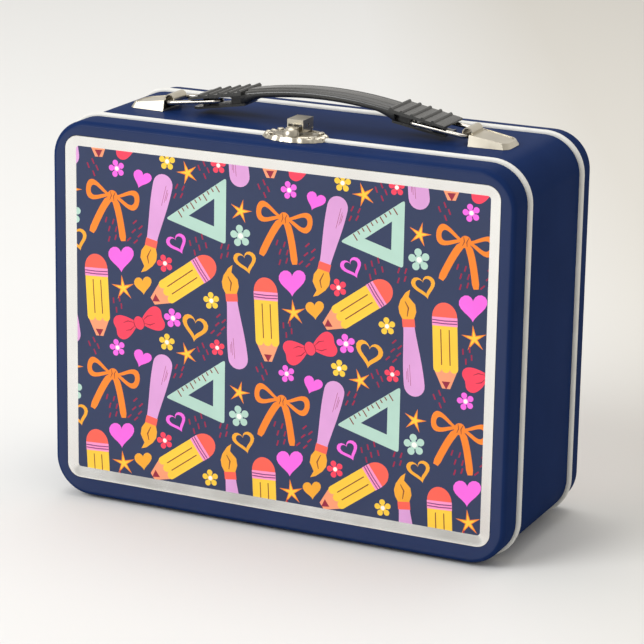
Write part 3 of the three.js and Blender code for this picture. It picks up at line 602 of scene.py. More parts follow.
def stroke(points, width, taper=0.55):
    """A brush line of the given width along points, narrower at both ends."""
    left = []
    right = []
    last = len(points) - 1
    for i, (x, y) in enumerate(points):
        before = points[max(i - 1, 0)]
        after = points[min(i + 1, last)]
        run = math.hypot(after[0] - before[0], after[1] - before[1]) or 1
        across = (-(after[1] - before[1]) / run, (after[0] - before[0]) / run)
        half = width / 2 * (taper if i in (0, last) else 1)
        left.append((x + across[0] * half, y + across[1] * half))
        right.append((x - across[0] * half, y - across[1] * half))
    return left + right[::-1]


def oblong(half, low, high):
    return [(-half, low), (half, low), (half, high), (-half, high)]


def heart_outline(size, count=28, lean=0.0):
    points = []
    for i in range(count):
        t = 2 * math.pi * (i + 0.5) / count
        x = 16 * math.sin(t) ** 3
        y = 13 * math.cos(t) - 5 * math.cos(2 * t) - 2 * math.cos(3 * t) - math.cos(4 * t)
        points.append(((x + lean * y) * size / 32, y * size / 32))
    return points[::-1]


def heart(ink, size):
    return [(ink, heart_outline(size, lean=0.12))]


def open_heart(ink, size):
    return [(ink, heart_outline(size, lean=-0.1)),
            ("ground", [(x, y + 0.02 * size) for x, y in heart_outline(0.66 * size, lean=-0.1)])]


def star(size):
    points = []
    for i in range(10):
        reach = size / 2 * (1.0 if i % 2 == 0 else 0.27)
        angle = math.radians(90 + 36 * i)
        points.append((reach * math.cos(angle), reach * math.sin(angle)))
    inner = [(0.66 * x, 0.66 * y) for x, y in points]
    return [("orange", points), ("yellow", inner)]


def flower(ink, size):
    shapes = []
    for i in range(5):
        angle = math.radians(90 + 72 * i)
        shapes.append((ink, oval(0.33 * size * math.cos(angle), 0.33 * size * math.sin(angle),
                                 0.17 * size, 0.17 * size, 14)))
    shapes.append((ink, oval(0, 0, 0.2 * size, 0.2 * size, 10)))
    shapes.append(("white", oval(0, 0, 0.125 * size, 0.125 * size, 12)))
    return shapes


def dashes(rows, columns, pitch, length):
    """A loose cluster of short slanting ticks."""
    shapes = []
    for row in range(rows):
        for column in range(columns):
            x = (column - (columns - 1) / 2 + 0.25 * (row % 2)) * pitch
            y = (row - (rows - 1) / 2) * pitch * 1.2 + 0.6 * math.sin(2.1 * column + row)
            shapes.append(("dash", stroke([(x - 0.22 * length, y - 0.45 * length),
                                           (x + 0.22 * length, y + 0.45 * length)], 1.15, 0.6)))
    return shapes


def pencil(length, width):
    """A stub of pencil, point down: eraser, double-lined ferrule, three facets, cut cone."""
    half = width / 2
    top = length / 2
    eraser = 0.17 * length
    ferrule = 0.1 * length
    cone = 0.24 * length
    neck = top - eraser
    barrel = neck - ferrule
    foot = -top + cone
    shapes = [("eraser", [(-half, neck - 0.2), (half, neck - 0.2)]
               + oval(0, neck, half, eraser, 14, 0, 180))]
    shapes.append(("blush", oblong(half + 0.1, barrel, neck)))
    for level in (0.3, 0.62):
        y = barrel + ferrule * level
        shapes.append(("plum", stroke([(-half, y + 0.15), (0, y - 0.1), (half, y + 0.1)], 0.5, 1)))
    scallop = [(half, foot)]
    for i in range(3):
        scallop += oval(half - width * (i + 0.5) / 3, foot, width / 6, 0.05 * length, 6, 0, -180)
    shapes.append(("peach", [(half, foot + 0.1), (0.16 * width, -top + 0.3),
                             (-0.16 * width, -top + 0.3), (-half, foot + 0.1)]))
    shapes.append(("wine", [(0.17 * width, -top + 0.09 * length), (0, -top),
                            (-0.17 * width, -top + 0.09 * length)]))
    shapes.append(("yellow", [(-half, barrel), *scallop[::-1], (half, barrel)]))
    for x in (-0.17, 0.17):
        shapes.append(("umber", stroke([(x * width, barrel - 0.04 * length),
                                        (x * width + 0.1, foot + 0.04 * length)], 0.6, 0.8)))
    return shapes


def brush(length, width):
    """A fat round brush, hairs down: bulbous lilac handle, coral band, amber hairs."""
    top = length / 2
    band_at = -top + 0.34 * length
    belly = []
    for i in range(13):
        t = i / 12
        y = band_at + (top - width / 2 - band_at) * t
        belly.append((0.27 * width + 0.23 * width * math.sin(math.pi * 0.5 * t) ** 1.4, y))
    crown = oval(0, top - width / 2, width / 2, width / 2, 10, 0, 180)[1:-1]
    handle = belly + crown + [(-x, y) for x, y in reversed(belly)]
    hair = [(-0.27 * width, band_at - 0.06 * length), (0.27 * width, band_at - 0.06 * length),
            (0.4 * width, band_at - 0.12 * length), (0.42 * width, band_at - 0.18 * length),
            (0.3 * width, band_at - 0.24 * length), (0.02 * width, -top + 0.03 * length),
            (-0.22 * width, -top), (-0.12 * width, band_at - 0.27 * length),
            (-0.4 * width, band_at - 0.2 * length), (-0.42 * width, band_at - 0.13 * length)]
    shapes = [("lilac", handle), ("amber", hair)]
    shapes.append(("eraser", oblong(0.3 * width, band_at - 0.065 * length,
                                    band_at + 0.01 * length)))
    shapes.append(("umber", stroke([(0.04 * width, band_at - 0.09 * length),
                                    (-0.06 * width, band_at - 0.17 * length),
                                    (0.08 * width, band_at - 0.23 * length)], 0.65, 0.5)))
    for shift, run in ((0.14, 0.2), (0.24, 0.13), (0.3, 0.08)):
        x = shift * width
        y = top - 0.2 * length
        shapes.append(("wine", stroke([(x + 0.3, y + run * length / 2), (x, y - run * length / 2)],
                                      0.42, 0.4)))
    return shapes


def set_square(size):
    """A clear mint set square with a triangular window and a row of ticks on its long edge."""
    corners = [(-0.5 * size, -0.12 * size), (0.36 * size, 0.42 * size), (0.3 * size, -0.4 * size)]
    centre = (sum(x for x, _ in corners) / 3, sum(y for _, y in corners) / 3)
    window = [(centre[0] + 0.42 * (x - centre[0]), centre[1] + 0.42 * (y - centre[1]))
              for x, y in corners]
    rounded = []
    for i, (x, y) in enumerate(corners):
        before = corners[i - 1]
        after = corners[(i + 1) % 3]
        rounded += fold((x + 0.05 * (before[0] - x), y + 0.05 * (before[1] - y)), (x, y),
                        (x + 0.05 * (after[0] - x), y + 0.05 * (after[1] - y)))
    shapes = [("mint", rounded), ("ground", window)]
    (x0, y0), (x1, y1) = corners[0], corners[1]
    run = math.hypot(x1 - x0, y1 - y0)
    along = ((x1 - x0) / run, (y1 - y0) / run)
    inward = (along[1], -along[0])
    for i in range(10):
        reach = (0.2 + 0.62 * i / 9) * run
        tick = 0.1 * size if i % 3 == 0 else 0.055 * size
        x = x0 + along[0] * reach
        y = y0 + along[1] * reach
        shapes.append(("umber", stroke([(x + 0.2 * inward[0], y + 0.2 * inward[1]),
                                        (x + tick * inward[0], y + tick * inward[1])], 0.6, 0.9)))
    return shapes


def ribbon_bow(size):
    """A tied ribbon seen from the front: two open loops, a knot and two hanging tails."""
    shapes = []
    for side in (-1, 1):
        loop = [(side * (0.02 + 0.48 * math.sin(math.pi * t) ** 0.8) * size,
                 (0.2 + 0.17 * math.sin(2 * math.pi * t) + 0.03 * math.sin(math.pi * t)) * size)
                for t in (i / 20 for i in range(20))]
        hole = [(side * 0.29 * size + 0.58 * (x - side * 0.29 * size),
                 0.215 * size + 0.5 * (y - 0.215 * size)) for x, y in loop]
        shapes += [("orange", loop), ("ground", hole)]
    for side in (-1, 1):
        tail = [(side * (0.03 + 0.27 * t ** 0.7) * size, (0.16 - 0.66 * t) * size)
                for t in (i / 9 for i in range(10))]
        shapes.append(("orange", stroke(tail, 0.12 * size, 0.7)))
    shapes.append(("orange", oval(0, 0.2 * size, 0.095 * size, 0.1 * size, 16)))
    for side in (-1, 1):
        shapes.append(("umber", stroke([(side * 0.045 * size, 0.275 * size),
                                        (side * 0.02 * size, 0.2 * size),
                                        (side * 0.04 * size, 0.125 * size)], 0.45, 0.4)))
    return shapes


def bow_tie(size):
    """A plump bow: two round-cornered wings, a knot and a few creases."""
    shapes = []
    for side in (-1, 1):
        wing = []
        for i in range(36):
            angle = 2 * math.pi * i / 36
            flare = 0.2 + 0.1 * math.cos(angle)
            notch = 0.045 * math.exp(-(angle / 0.3) ** 2) + 0.045 * math.exp(
                -((2 * math.pi - angle) / 0.3) ** 2)
            wing.append((side * (0.28 + 0.235 * math.cos(angle) - notch) * size,
                         flare * math.sin(angle) * size * 0.98))
        shapes.append(("coral", wing))
    for side in (-1, 1):
        for lift in (-1, 1):
            crease = [(side * 0.1 * size, lift * 0.03 * size),
                      (side * 0.2 * size, lift * 0.08 * size),
                      (side * 0.3 * size, lift * 0.07 * size)]
            shapes.append(("wine", stroke(crease, 0.5, 0.4)))
    shapes.append(("coral", oval(0, 0, 0.095 * size, 0.12 * size, 16)))
    for side in (-1, 1):
        shapes.append(("wine", stroke([(side * 0.085 * size, 0.08 * size),
                                       (side * 0.1 * size, 0.0),
                                       (side * 0.08 * size, -0.09 * size)], 0.45, 0.4)))
    return shapes


REPEAT_WIDE = 84.0
REPEAT_TALL = 82.0
REPEAT_LEFT = -12
REPEAT_FOOT = -21
MOTIF_REACH = 26
REPEAT = [
    (ribbon_bow(27), 15, 62, -8), (brush(47, 9.6), 37, 57, -12), (set_square(36), 60, 66, 4),
    (pencil(38, 11.4), 8, 21, 3), (bow_tie(26), 29, 11, 20), (pencil(38, 11.4), 51, 33, -54),
    (brush(47, 9.6), 76, 20, 187),
    (heart("pink", 13), 20, 40, 8), (heart("pink", 9), 30.5, 77, -14),
    (heart("amber", 9), 31, 29, 12), (open_heart("amber", 13), 57, 13, -10),
    (open_heart("pink", 10), 48, 50, 24), (open_heart("amber", 11), 81.5, 46, 14),
    (star(12), 21, 26, 8), (star(11), 79, 68, -12), (star(11), 53, 82, 20),
    (flower("yellow", 8), 43, 4, 0), (flower("coral", 8), 42, 40, 20),
    (flower("mint", 10), 79, 57, 10), (flower("coral", 7.5), 68, 5, 5),
    (flower("pink", 9), 46, 15.5, 12), (flower("pink", 8), 18, 80, 16),
    (flower("yellow", 8), 65, 26, 8),
    (dashes(3, 2, 3.4, 2.6), 15, 52, 10), (dashes(2, 3, 3.4, 2.6), 58, 50.5, 40),
    (dashes(3, 2, 3.4, 2.6), 27, 52, -20), (dashes(2, 2, 3.2, 2.6), 18, 18, 30),
    (dashes(3, 2, 3.2, 2.6), 68.5, 15, -20), (dashes(2, 2, 3.2, 2.6), 61, 2, 50),
    (dashes(2, 2, 3.2, 2.6), 6, 79, 50), (dashes(2, 2, 3.2, 2.6), 71, 49, 10),
    (dashes(2, 2, 3.2, 2.6), 48.5, 73, 0),
]


def place_shape(points, x, y, turn):
    """Points turned by an angle in degrees and moved, in metres and anticlockwise."""
    cosine = math.cos(math.radians(turn))
    sine = math.sin(math.radians(turn))
    placed = [Vector(((x + cosine * u - sine * v) * MM, (y + sine * u + cosine * v) * MM))
              for u, v in points]
    area = sum(a.x * b.y - b.x * a.y for a, b in zip(placed, placed[1:] + placed[:1]))
    return placed if area > 0 else placed[::-1]


def picture_mesh(name, outline, face):
    """The inked flat as one thin closed sheet whose faces follow the edges of the drawing."""
    half, low, high, _ = outline
    border = [Vector((x, z)) for x, _, z in ring(outline, 0)]
    points = list(border)
    loops = [list(range(len(border)))]
    inks = ["ground"]
    for column in range(-2, 3):
        for row in range(-1, 3):
            for shapes, x, y, turn in REPEAT:
                across = x + column * REPEAT_WIDE + REPEAT_LEFT
                up = y + row * REPEAT_TALL + REPEAT_FOOT
                near = (abs(across) <= half / MM + MOTIF_REACH
                        and -MOTIF_REACH < up < (high - low) / MM + MOTIF_REACH)
                if not near:
                    continue
                for ink, shape in shapes:
                    placed = place_shape(shape, across, up + low / MM, turn)
                    if all(abs(p.x) > half for p in placed) or all(p.y < low for p in placed) \
                            or all(p.y > high for p in placed):
                        continue
                    loops.append(list(range(len(points), len(points) + len(placed))))
                    points += placed
                    inks.append(ink)
    made = geometry.delaunay_2d_cdt(points, [], loops, 0, 1e-7)
    corners, _, faces, _, _, owners = made
    kept = [(corner_ids, max(owner)) for corner_ids, owner in zip(faces, owners) if 0 in owner]
    used = sorted({corner for corner_ids, _ in kept for corner in corner_ids})
    renumbered = {corner: index for index, corner in enumerate(used)}
    mesh = bpy.data.meshes.new(name)
    mesh.from_pydata([(corners[corner].x, face, corners[corner].y) for corner in used], [],
                     [[renumbered[corner] for corner in corner_ids] for corner_ids, _ in kept])
    paint = mesh.color_attributes.new("ink", "FLOAT_COLOR", "CORNER")
    for polygon, (_, top) in zip(mesh.polygons, kept):
        for corner in polygon.loop_indices:
            paint.data[corner].color = (*INKS[inks[top]], 1)
    mesh.update()
    close_sheet(mesh, INK / 2)
    return mesh


def close_sheet(mesh, thickness):
    """Gives the open picture a rim and one plain back face."""
    work = bmesh.new()
    work.from_mesh(mesh)
    rim = [edge for edge in work.edges if edge.is_boundary]
    added = bmesh.ops.extrude_edge_only(work, edges=rim)["geom"]
    for corner in added:
        if isinstance(corner, bmesh.types.BMVert):
            corner.co.y += thickness
    back = [edge for edge in added if isinstance(edge, bmesh.types.BMEdge) and edge.is_boundary]
    bmesh.ops.edgeloop_fill(work, edges=back)
    work.to_mesh(mesh)
    work.free()


def make_picture_ink():
    """The drawing's own inks, washed a little with the sheet's grain."""
    made, tree, shader, texture = grained("printed_ink", rough=(0.3, 0.4), metal=0.0, patch=50,
                                          grain=4000, bump=0.08, specular=0.4)
    ink = add_node(tree, "ShaderNodeAttribute", attribute_name="ink")
    wash = add_node(tree, "ShaderNodeMapRange", [("To Min", 0.93), ("To Max", 1.03)])
    tinted = add_node(tree, "ShaderNodeVectorMath", operation="SCALE")
    tree.links.new(texture.outputs["Tone"], wash.inputs["Value"])
    tree.links.new(ink.outputs["Color"], tinted.inputs[0])
    tree.links.new(wash.outputs[0], tinted.inputs["Scale"])
    tree.links.new(tinted.outputs[0], shader.inputs["Base Color"])
    return made


printed_ink = make_picture_ink()


def make_picture(name, node, body_name):
    low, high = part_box(node)
    flat = inset(panel_outline(node), MARGIN + 0.02 * MM)
    mesh = picture_mesh(name, flat, low.y + PANEL_RECESS - INK)
    mesh.materials.append(printed_ink)
    made = bpy.data.objects.new(name, mesh)
    bpy.context.collection.objects.link(made)
    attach(made, body_name)
    return made


front_picture = make_picture("front_picture", "front_picture_panel", "lid")
rear_picture = bpy.data.objects.new("rear_picture", front_picture.data.copy())
rear_picture.data.transform(Matrix.Rotation(math.pi, 4, "Z"))
bpy.context.collection.objects.link(rear_picture)
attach(rear_picture, "case")

# === Lid hinges ==============================================================================
# Two small steel butt hinges are riveted under the box: a leaf with one barrel on the case, a
# leaf with two on the lid, each rolled round a plain wire pin.

nickel = coated("nickel_plate", (0.5, 0.46, 0.375), (0.61, 0.565, 0.47),
                rough=(0.28, 0.38), metal=1.0, patch=90, grain=3500, bump=0.04)
bright_wire = coated("bright_wire", (0.44, 0.415, 0.37), (0.56, 0.53, 0.475),
                     rough=(0.22, 0.3), metal=1.0, patch=120, grain=4000, bump=0.03)
LEAF_THICK = 0.45 * MM
BORE_RADIUS = 0.62 * MM
ROUND_SIDES = 32
KNUCKLE_GAP = 0.15 * MM
LEAF_CORNER = 1.5 * MM
LEAF_STANDOFF = 0.4 * MM
joints = {one["name"]: one for one in frame["record"]["behaviour"]["joints"]}
AXES = {"X": (1, 2, 0), "Y": (0, 2, 1), "Z": (0, 1, 2)}


def between(name, points):
    """A solid between two outlines of equal length, given one after the other."""
    count = len(points) // 2
    faces = [tuple(range(count)), tuple(range(2 * count - 1, count - 1, -1))]
    faces += [(i, (i + 1) % count, count + (i + 1) % count, count + i) for i in range(count)]
    made = mesh_object(name, points, faces, [])
    fair_normals(made)
    return made


def prism(name, outline, axis, start, end):
    """A flat outline, in the two other coordinates, carried along one axis."""
    first, second, third = AXES[axis]
    points = []
    for reach in (start, end):
        for a, b in outline:
            point = [0.0, 0.0, 0.0]
            point[first], point[second], point[third] = a, b, reach
            points.append(point)
    return between(name, points)


def turned(name, profile, axis, centre):
    """A round piece from (radius, reach) pairs that start and end on its axis."""
    first, second, third = AXES[axis]
    points = []
    rows = []
    for radius, reach in profile:
        count = 1 if radius == 0 else ROUND_SIDES
        rows.append((len(points), count))
        for step in range(count):
            angle = 2 * math.pi * step / ROUND_SIDES
            point = list(centre)
            point[first] += radius * math.cos(angle)
            point[second] += radius * math.sin(angle)
            point[third] += reach
            points.append(point)
    faces = []
    for (low, low_count), (high, high_count) in zip(rows, rows[1:]):
        for step in range(ROUND_SIDES):
            after = (step + 1) % ROUND_SIDES
            corners = [low + step % low_count, low + after % low_count,
                       high + after % high_count, high + step % high_count]
            faces.append(tuple(dict.fromkeys(corners)))
    made = mesh_object(name, points, faces, [])
    fair_normals(made)
    return made


def rod(name, radius, axis, centre, half, dome=0.3):
    """A pin or wire end with softly rounded ends."""
    soft = radius * dome
    return turned(name, [(0, -half), (radius - soft, -half), (radius, soft - half),
                         (radius, half - soft), (radius - soft, half), (0, half)], axis, centre)


def finish(piece, node, body_name, material, soften=0.0, crease=38):
    """Gives a piece its finish, a softened edge, and its place in the frame."""
    piece.data.materials.clear()
    piece.data.materials.append(material)
    if soften:
        edge = piece.modifiers.new("soft_edge", "BEVEL")
        edge.width = soften
        edge.segments = 3
        edge.limit_method = "ANGLE"
        edge.angle_limit = math.radians(crease)
        edge.harden_normals = True
        piece.data.shade_smooth()
        piece.data.set_sharp_from_angle(angle=math.radians(crease))
    else:
        smooth(piece, crease)
    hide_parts(node)
    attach(piece, body_name)


def centre_of(node):
    low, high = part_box(node)
    return (low + high) / 2


def half_of(node):
    low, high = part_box(node)
    return (high - low) / 2


pivot_z = joints["lid_hinge"]["pos_m"][2]
pivot_y = joints["lid_hinge"]["pos_m"][1]
knuckle = pivot_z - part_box("hinge_left_body_leaf")[0].z
for side in ("left", "right"):
    middle = centre_of(f"hinge_{side}_pin").x
    half = half_of(f"hinge_{side}_pin").x
    for owner, body_name, spans in (
            ("body", "case", [(-half / 3 + KNUCKLE_GAP, half / 3 - KNUCKLE_GAP)]),
            ("lid", "lid", [(-half, -half / 3 - KNUCKLE_GAP), (half / 3 + KNUCKLE_GAP, half)])):
        node = f"hinge_{side}_{owner}_leaf"
        low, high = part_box(node)
        inner, outer = (pivot_y, high.y) if owner == "body" else (pivot_y, low.y)
        way = 1 if owner == "body" else -1
        top = band_low.z - SEAT
        near = inner + way * (knuckle + LEAF_STANDOFF)
        plan = [(middle - half, near), (middle - half, outer - way * LEAF_CORNER),
                (middle - half + LEAF_CORNER, outer), (middle + half - LEAF_CORNER, outer),
                (middle + half, outer - way * LEAF_CORNER), (middle + half, near)]
        leaf = prism(f"{owner}_leaf_{side}", plan, "Z", top - LEAF_THICK, top)
        for start, end in spans:
            reach = (end - start) / 2
            at = (middle + (start + end) / 2, pivot_y, pivot_z)
            combine(leaf, rod("barrel", knuckle, "X", at, reach, 0.12), "UNION")
            neck = sorted((inner + way * MM, near + way * MM))
            combine(leaf, box_object("neck", (middle + start, neck[0], top - LEAF_THICK),
                                     (middle + end, neck[1], top)), "UNION")
        combine(leaf, rod("bore", BORE_RADIUS, "X", (middle, pivot_y, pivot_z), 2 * half),
                "DIFFERENCE")
        finish(leaf, node, body_name, nickel, 0.08 * MM)
    pin = f"hinge_{side}_pin"
    finish(rod(f"pin_{side}", half_of(pin).z, "X", centre_of(pin), half), pin, "case",
           bright_wire)


# === Rivets ==================================================================================
# Nickel-plated tubular rivets hold the hinges, the latch plate and the handle brackets. Each
# has a low domed head outside and a small rolled tail inside the box.

RIVET_SHANK = 0.8 * MM
RIVET_HEAD = 0.45 * MM
RIVET_TAIL = 0.35 * MM
RIVET_TAIL_RADIUS = 1.3 * MM
RIVET_STEPS = 6


def make_rivet(node, head_below):
    """A shank between a domed head and a flatter rolled tail."""
    low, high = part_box(node)
    at = centre_of(node)
    head = (half_of(node).x, RIVET_HEAD)
    tail = (RIVET_TAIL_RADIUS, RIVET_TAIL)
    below, above = (head, tail) if head_below else (tail, head)
    angles = [math.radians(90 * step / RIVET_STEPS) for step in range(RIVET_STEPS + 1)]
    profile = [(below[0] * math.sin(angle), low.z + below[1] * (1 - math.cos(angle)))
               for angle in angles]
    profile += [(RIVET_SHANK, low.z + below[1]), (RIVET_SHANK, high.z - above[1])]
    profile += [(above[0] * math.sin(angle), high.z - above[1] * (1 - math.cos(angle)))
                for angle in reversed(angles)]
    profile = [(0 if radius < 1e-6 else radius, reach) for radius, reach in profile]
    return turned(f"{node}_turned", profile, "Z", (at.x, at.y, 0))


bodies = frame["record"]["behaviour"]["bodies"]
for body_name, nodes in bodies.items():
    for node in nodes:
        if "_rivet_" in node:
            rivet = make_rivet(node, head_below=node.startswith("hinge"))
            finish(rivet, node, body_name, nickel)


# === Latch plate =============================================================================
# An oval plate stamped from thin nickel-plated steel like a fluted shell bridges the front
# bead. It is cut in two along the joint: one half on the case, the other on the lid.

PLATE_SHEET = 0.5 * MM
PLATE_FLUTES = 18
PLATE_STEPS = 108
PLATE_ROWS = 20
PLATE_GAP = 0.25 * MM
EAR_FOOT = 1.4 * MM
EAR_ROOT = 0.4 * MM
EAR_RADIUS = 0.95 * MM
EAR_SHEET = 0.6 * MM
PIN_BORE = 0.5 * MM

plate_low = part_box("latch_plate_front")[0]
plate_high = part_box("latch_plate_rear")[1]
latch_x = (plate_low.x + plate_high.x) / 2
plate_half_x = (plate_high.x - plate_low.x) / 2
split_y = centre_of("front_rim_bead_hoop").y
plate_half_y = plate_high.y - split_y
plate_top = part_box("latch_hasp")[0].z - 0.3 * MM
plate_foot = band_high.z + SEAT


def plate_height(reach, angle):
    """Height above the lower edge: a dished field inside a rolled lip, beaded at both ends."""
    tall = plate_top - plate_foot
    ends = min(1.0, max(0.0, (abs(math.cos(angle)) - 0.55) / 0.2))
    lobes = 0.5 + 0.5 * math.cos(PLATE_FLUTES * angle)
    shoulder = 1 - max(0.0, (reach - 0.9) / 0.1) ** 2
    lip = math.exp(-((reach - 0.87) / 0.07) ** 2)
    groove = math.exp(-((reach - 0.72) / 0.06) ** 2)
    field = tall * (0.94 - 0.3 * groove)
    raised = tall * (1.0 - 0.45 * ends * (1 - lobes))
    return (field + (raised - field) * lip) * max(shoulder, 0.0)


def make_plate(name, start_degrees, split):
    """Half of the shell as a closed sheet: fluted above, following it below."""
    points = []
    faces = []
    for layer in (0.0, PLATE_SHEET):
        for row in range(PLATE_ROWS + 1):
            reach = 0.02 + 0.98 * row / PLATE_ROWS
            for step in range(PLATE_STEPS + 1):
                angle = math.radians(start_degrees + 180 * step / PLATE_STEPS)
                lobe = 1 - 0.035 * (0.5 - 0.5 * math.cos(PLATE_FLUTES * angle)) * reach
                shrink = 1 if layer == 0 or row < PLATE_ROWS else 0.965
                spread = reach * lobe * shrink
                x = latch_x + plate_half_x * spread * math.cos(angle)
                y = split_y + split + (plate_half_y - abs(split)) * spread * math.sin(angle)
                z = plate_foot + max(plate_height(reach, angle), 0.05 * MM) - layer
                points.append((x, y, max(z, plate_foot)))
    wide = PLATE_STEPS + 1
    lower = (PLATE_ROWS + 1) * wide
    for row in range(PLATE_ROWS):
        for step in range(PLATE_STEPS):
            a = row * wide + step
            faces.append((a, a + 1, a + wide + 1, a + wide))
            faces.append((lower + a + wide, lower + a + wide + 1, lower + a + 1, lower + a))
    for step in range(PLATE_STEPS):
        for row in (0, PLATE_ROWS):
            a = row * wide + step
            faces.append((a, a + 1, lower + a + 1, lower + a))
    for row in range(PLATE_ROWS):
        for step in (0, PLATE_STEPS):
            a = row * wide + step
            faces.append((a, a + wide, lower + a + wide, lower + a))
    made = mesh_object(name, points, faces, [])
    fair_normals(made)
    return made


hasp_low, hasp_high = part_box("latch_hasp")
hasp_pivot = Vector(joints["hasp_hinge"]["pos_m"])
rear_plate = make_plate("latch_shell_rear", 0, PLATE_GAP)
ear_half = (hasp_high.x - hasp_low.x) / 2 - 0.8 * MM
for way in (-1, 1):
    ear = [(hasp_pivot.y - EAR_FOOT, plate_top - EAR_ROOT)]
    ear += [(hasp_pivot.y + EAR_RADIUS * math.cos(math.radians(180 - 18 * step)),
             hasp_pivot.z + EAR_RADIUS * math.sin(math.radians(18 * step))) for step in range(11)]
    ear += [(hasp_pivot.y + EAR_FOOT, plate_top - EAR_ROOT)]
    inner, outer = sorted((latch_x + way * ear_half, latch_x + way * (ear_half - EAR_SHEET)))
    combine(rear_plate, prism("ear", ear, "X", inner, outer), "UNION")
combine(rear_plate, rod("bore", PIN_BORE, "X", (latch_x, hasp_pivot.y, hasp_pivot.z), 6 * MM),
        "DIFFERENCE")
finish(rear_plate, "latch_plate_rear", "case", nickel)

CATCH_HALF = 3.7 * MM
TONGUE_HALF = 2.5 * MM
front_plate = make_plate("latch_shell_front", 180, -PLATE_GAP)
catch_top = plate_low.z + half_of("latch_plate_front").z * 2
catch_y = split_y - 5.1 * MM
dome = turned("dome", [(0, -0.4 * MM)] + [
    (CATCH_HALF * math.cos(math.radians(15 * step)) if step < 6 else 0,
     (catch_top - plate_top) * math.sin(math.radians(15 * step))) for step in range(7)],
    "Z", (latch_x, catch_y, plate_top))
combine(front_plate, dome, "UNION")
combine(front_plate, box_object(
    "tongue", (latch_x - TONGUE_HALF, catch_y, plate_top + 0.3 * MM),
    (latch_x + TONGUE_HALF, split_y + 2 * MM, catch_top - 0.5 * MM)), "UNION")
finish(front_plate, "latch_plate_front", "lid", nickel)


# === Hasp ====================================================================================
# The hasp is a small cap folded from one strip: a top with a turned-down lip that snaps over
# the lid's nose, and two pierced cheeks that swing on a plain pin through the plate's ears.

HASP_SHEET = 0.5 * MM
HASP_LIP = 2.0 * MM
HASP_HEEL = 0.9 * MM
CHEEK_HOLE = 0.9 * MM

cheek = [(hasp_low.y, hasp_low.z + 0.5 * MM), (hasp_low.y + 0.5 * MM, hasp_low.z),
         (hasp_pivot.y, hasp_low.z)]
cheek += [(hasp_pivot.y + HASP_HEEL * math.cos(math.radians(angle)),
           hasp_pivot.z + HASP_HEEL * math.sin(math.radians(angle)))
          for angle in (-75, -60, -45, -30, -15, 0)]
cheek += [(hasp_high.y, hasp_high.z), (hasp_low.y, hasp_high.z)]
hasp = prism("folded_hasp", cheek, "X", hasp_low.x, hasp_high.x)
combine(hasp, box_object("hollow", (hasp_low.x + HASP_SHEET, hasp_low.y - MM, hasp_low.z - MM),
                         (hasp_high.x - HASP_SHEET, hasp_high.y + MM, hasp_high.z - HASP_SHEET)),
        "DIFFERENCE")
combine(hasp, box_object("lip", (hasp_low.x, hasp_low.y, hasp_high.z - HASP_LIP),
                         (hasp_high.x, hasp_low.y + HASP_SHEET, hasp_high.z)), "UNION")
combine(hasp, rod("hole", CHEEK_HOLE, "X", ((hasp_low + hasp_high) / 2), 6 * MM), "DIFFERENCE")
combine(hasp, rod("bore", PIN_BORE, "X", hasp_pivot, 6 * MM), "DIFFERENCE")
finish(hasp, "latch_hasp", "hasp", nickel, 0.16 * MM)
finish(rod("hasp_pin", half_of("latch_hasp_pin").z, "X", centre_of("latch_hasp_pin"),
           half_of("latch_hasp_pin").x, 0.5), "latch_hasp_pin", "case", bright_wire)


# === Handle brackets =========================================================================
# Each end of the handle is held by a cap folded from nickel-plated steel, riveted to the band.
# Its top is pressed down inside a narrow border, and a tongue at its open end is curled up and
# over the cross wire of the bail, which turns in it.

CAP_SHEET = 0.7 * MM
CAP_INNER_HEIGHT = 5.0 * MM
CAP_OUTER_HEIGHT = 2.2 * MM
CAP_OUTER_HALF = 8.2 * MM
CAP_CLIP = 2.2 * MM
CAP_FLARE = 1.1 * MM
CAP_BORDER = 0.7 * MM
CAP_SUNK = 0.22 * MM
CURL_OUTER = 2.4 * MM
CURL_INNER = 1.9 * MM
CURL_HALF = 6.0 * MM
CURL_RISE = 5.2 * MM


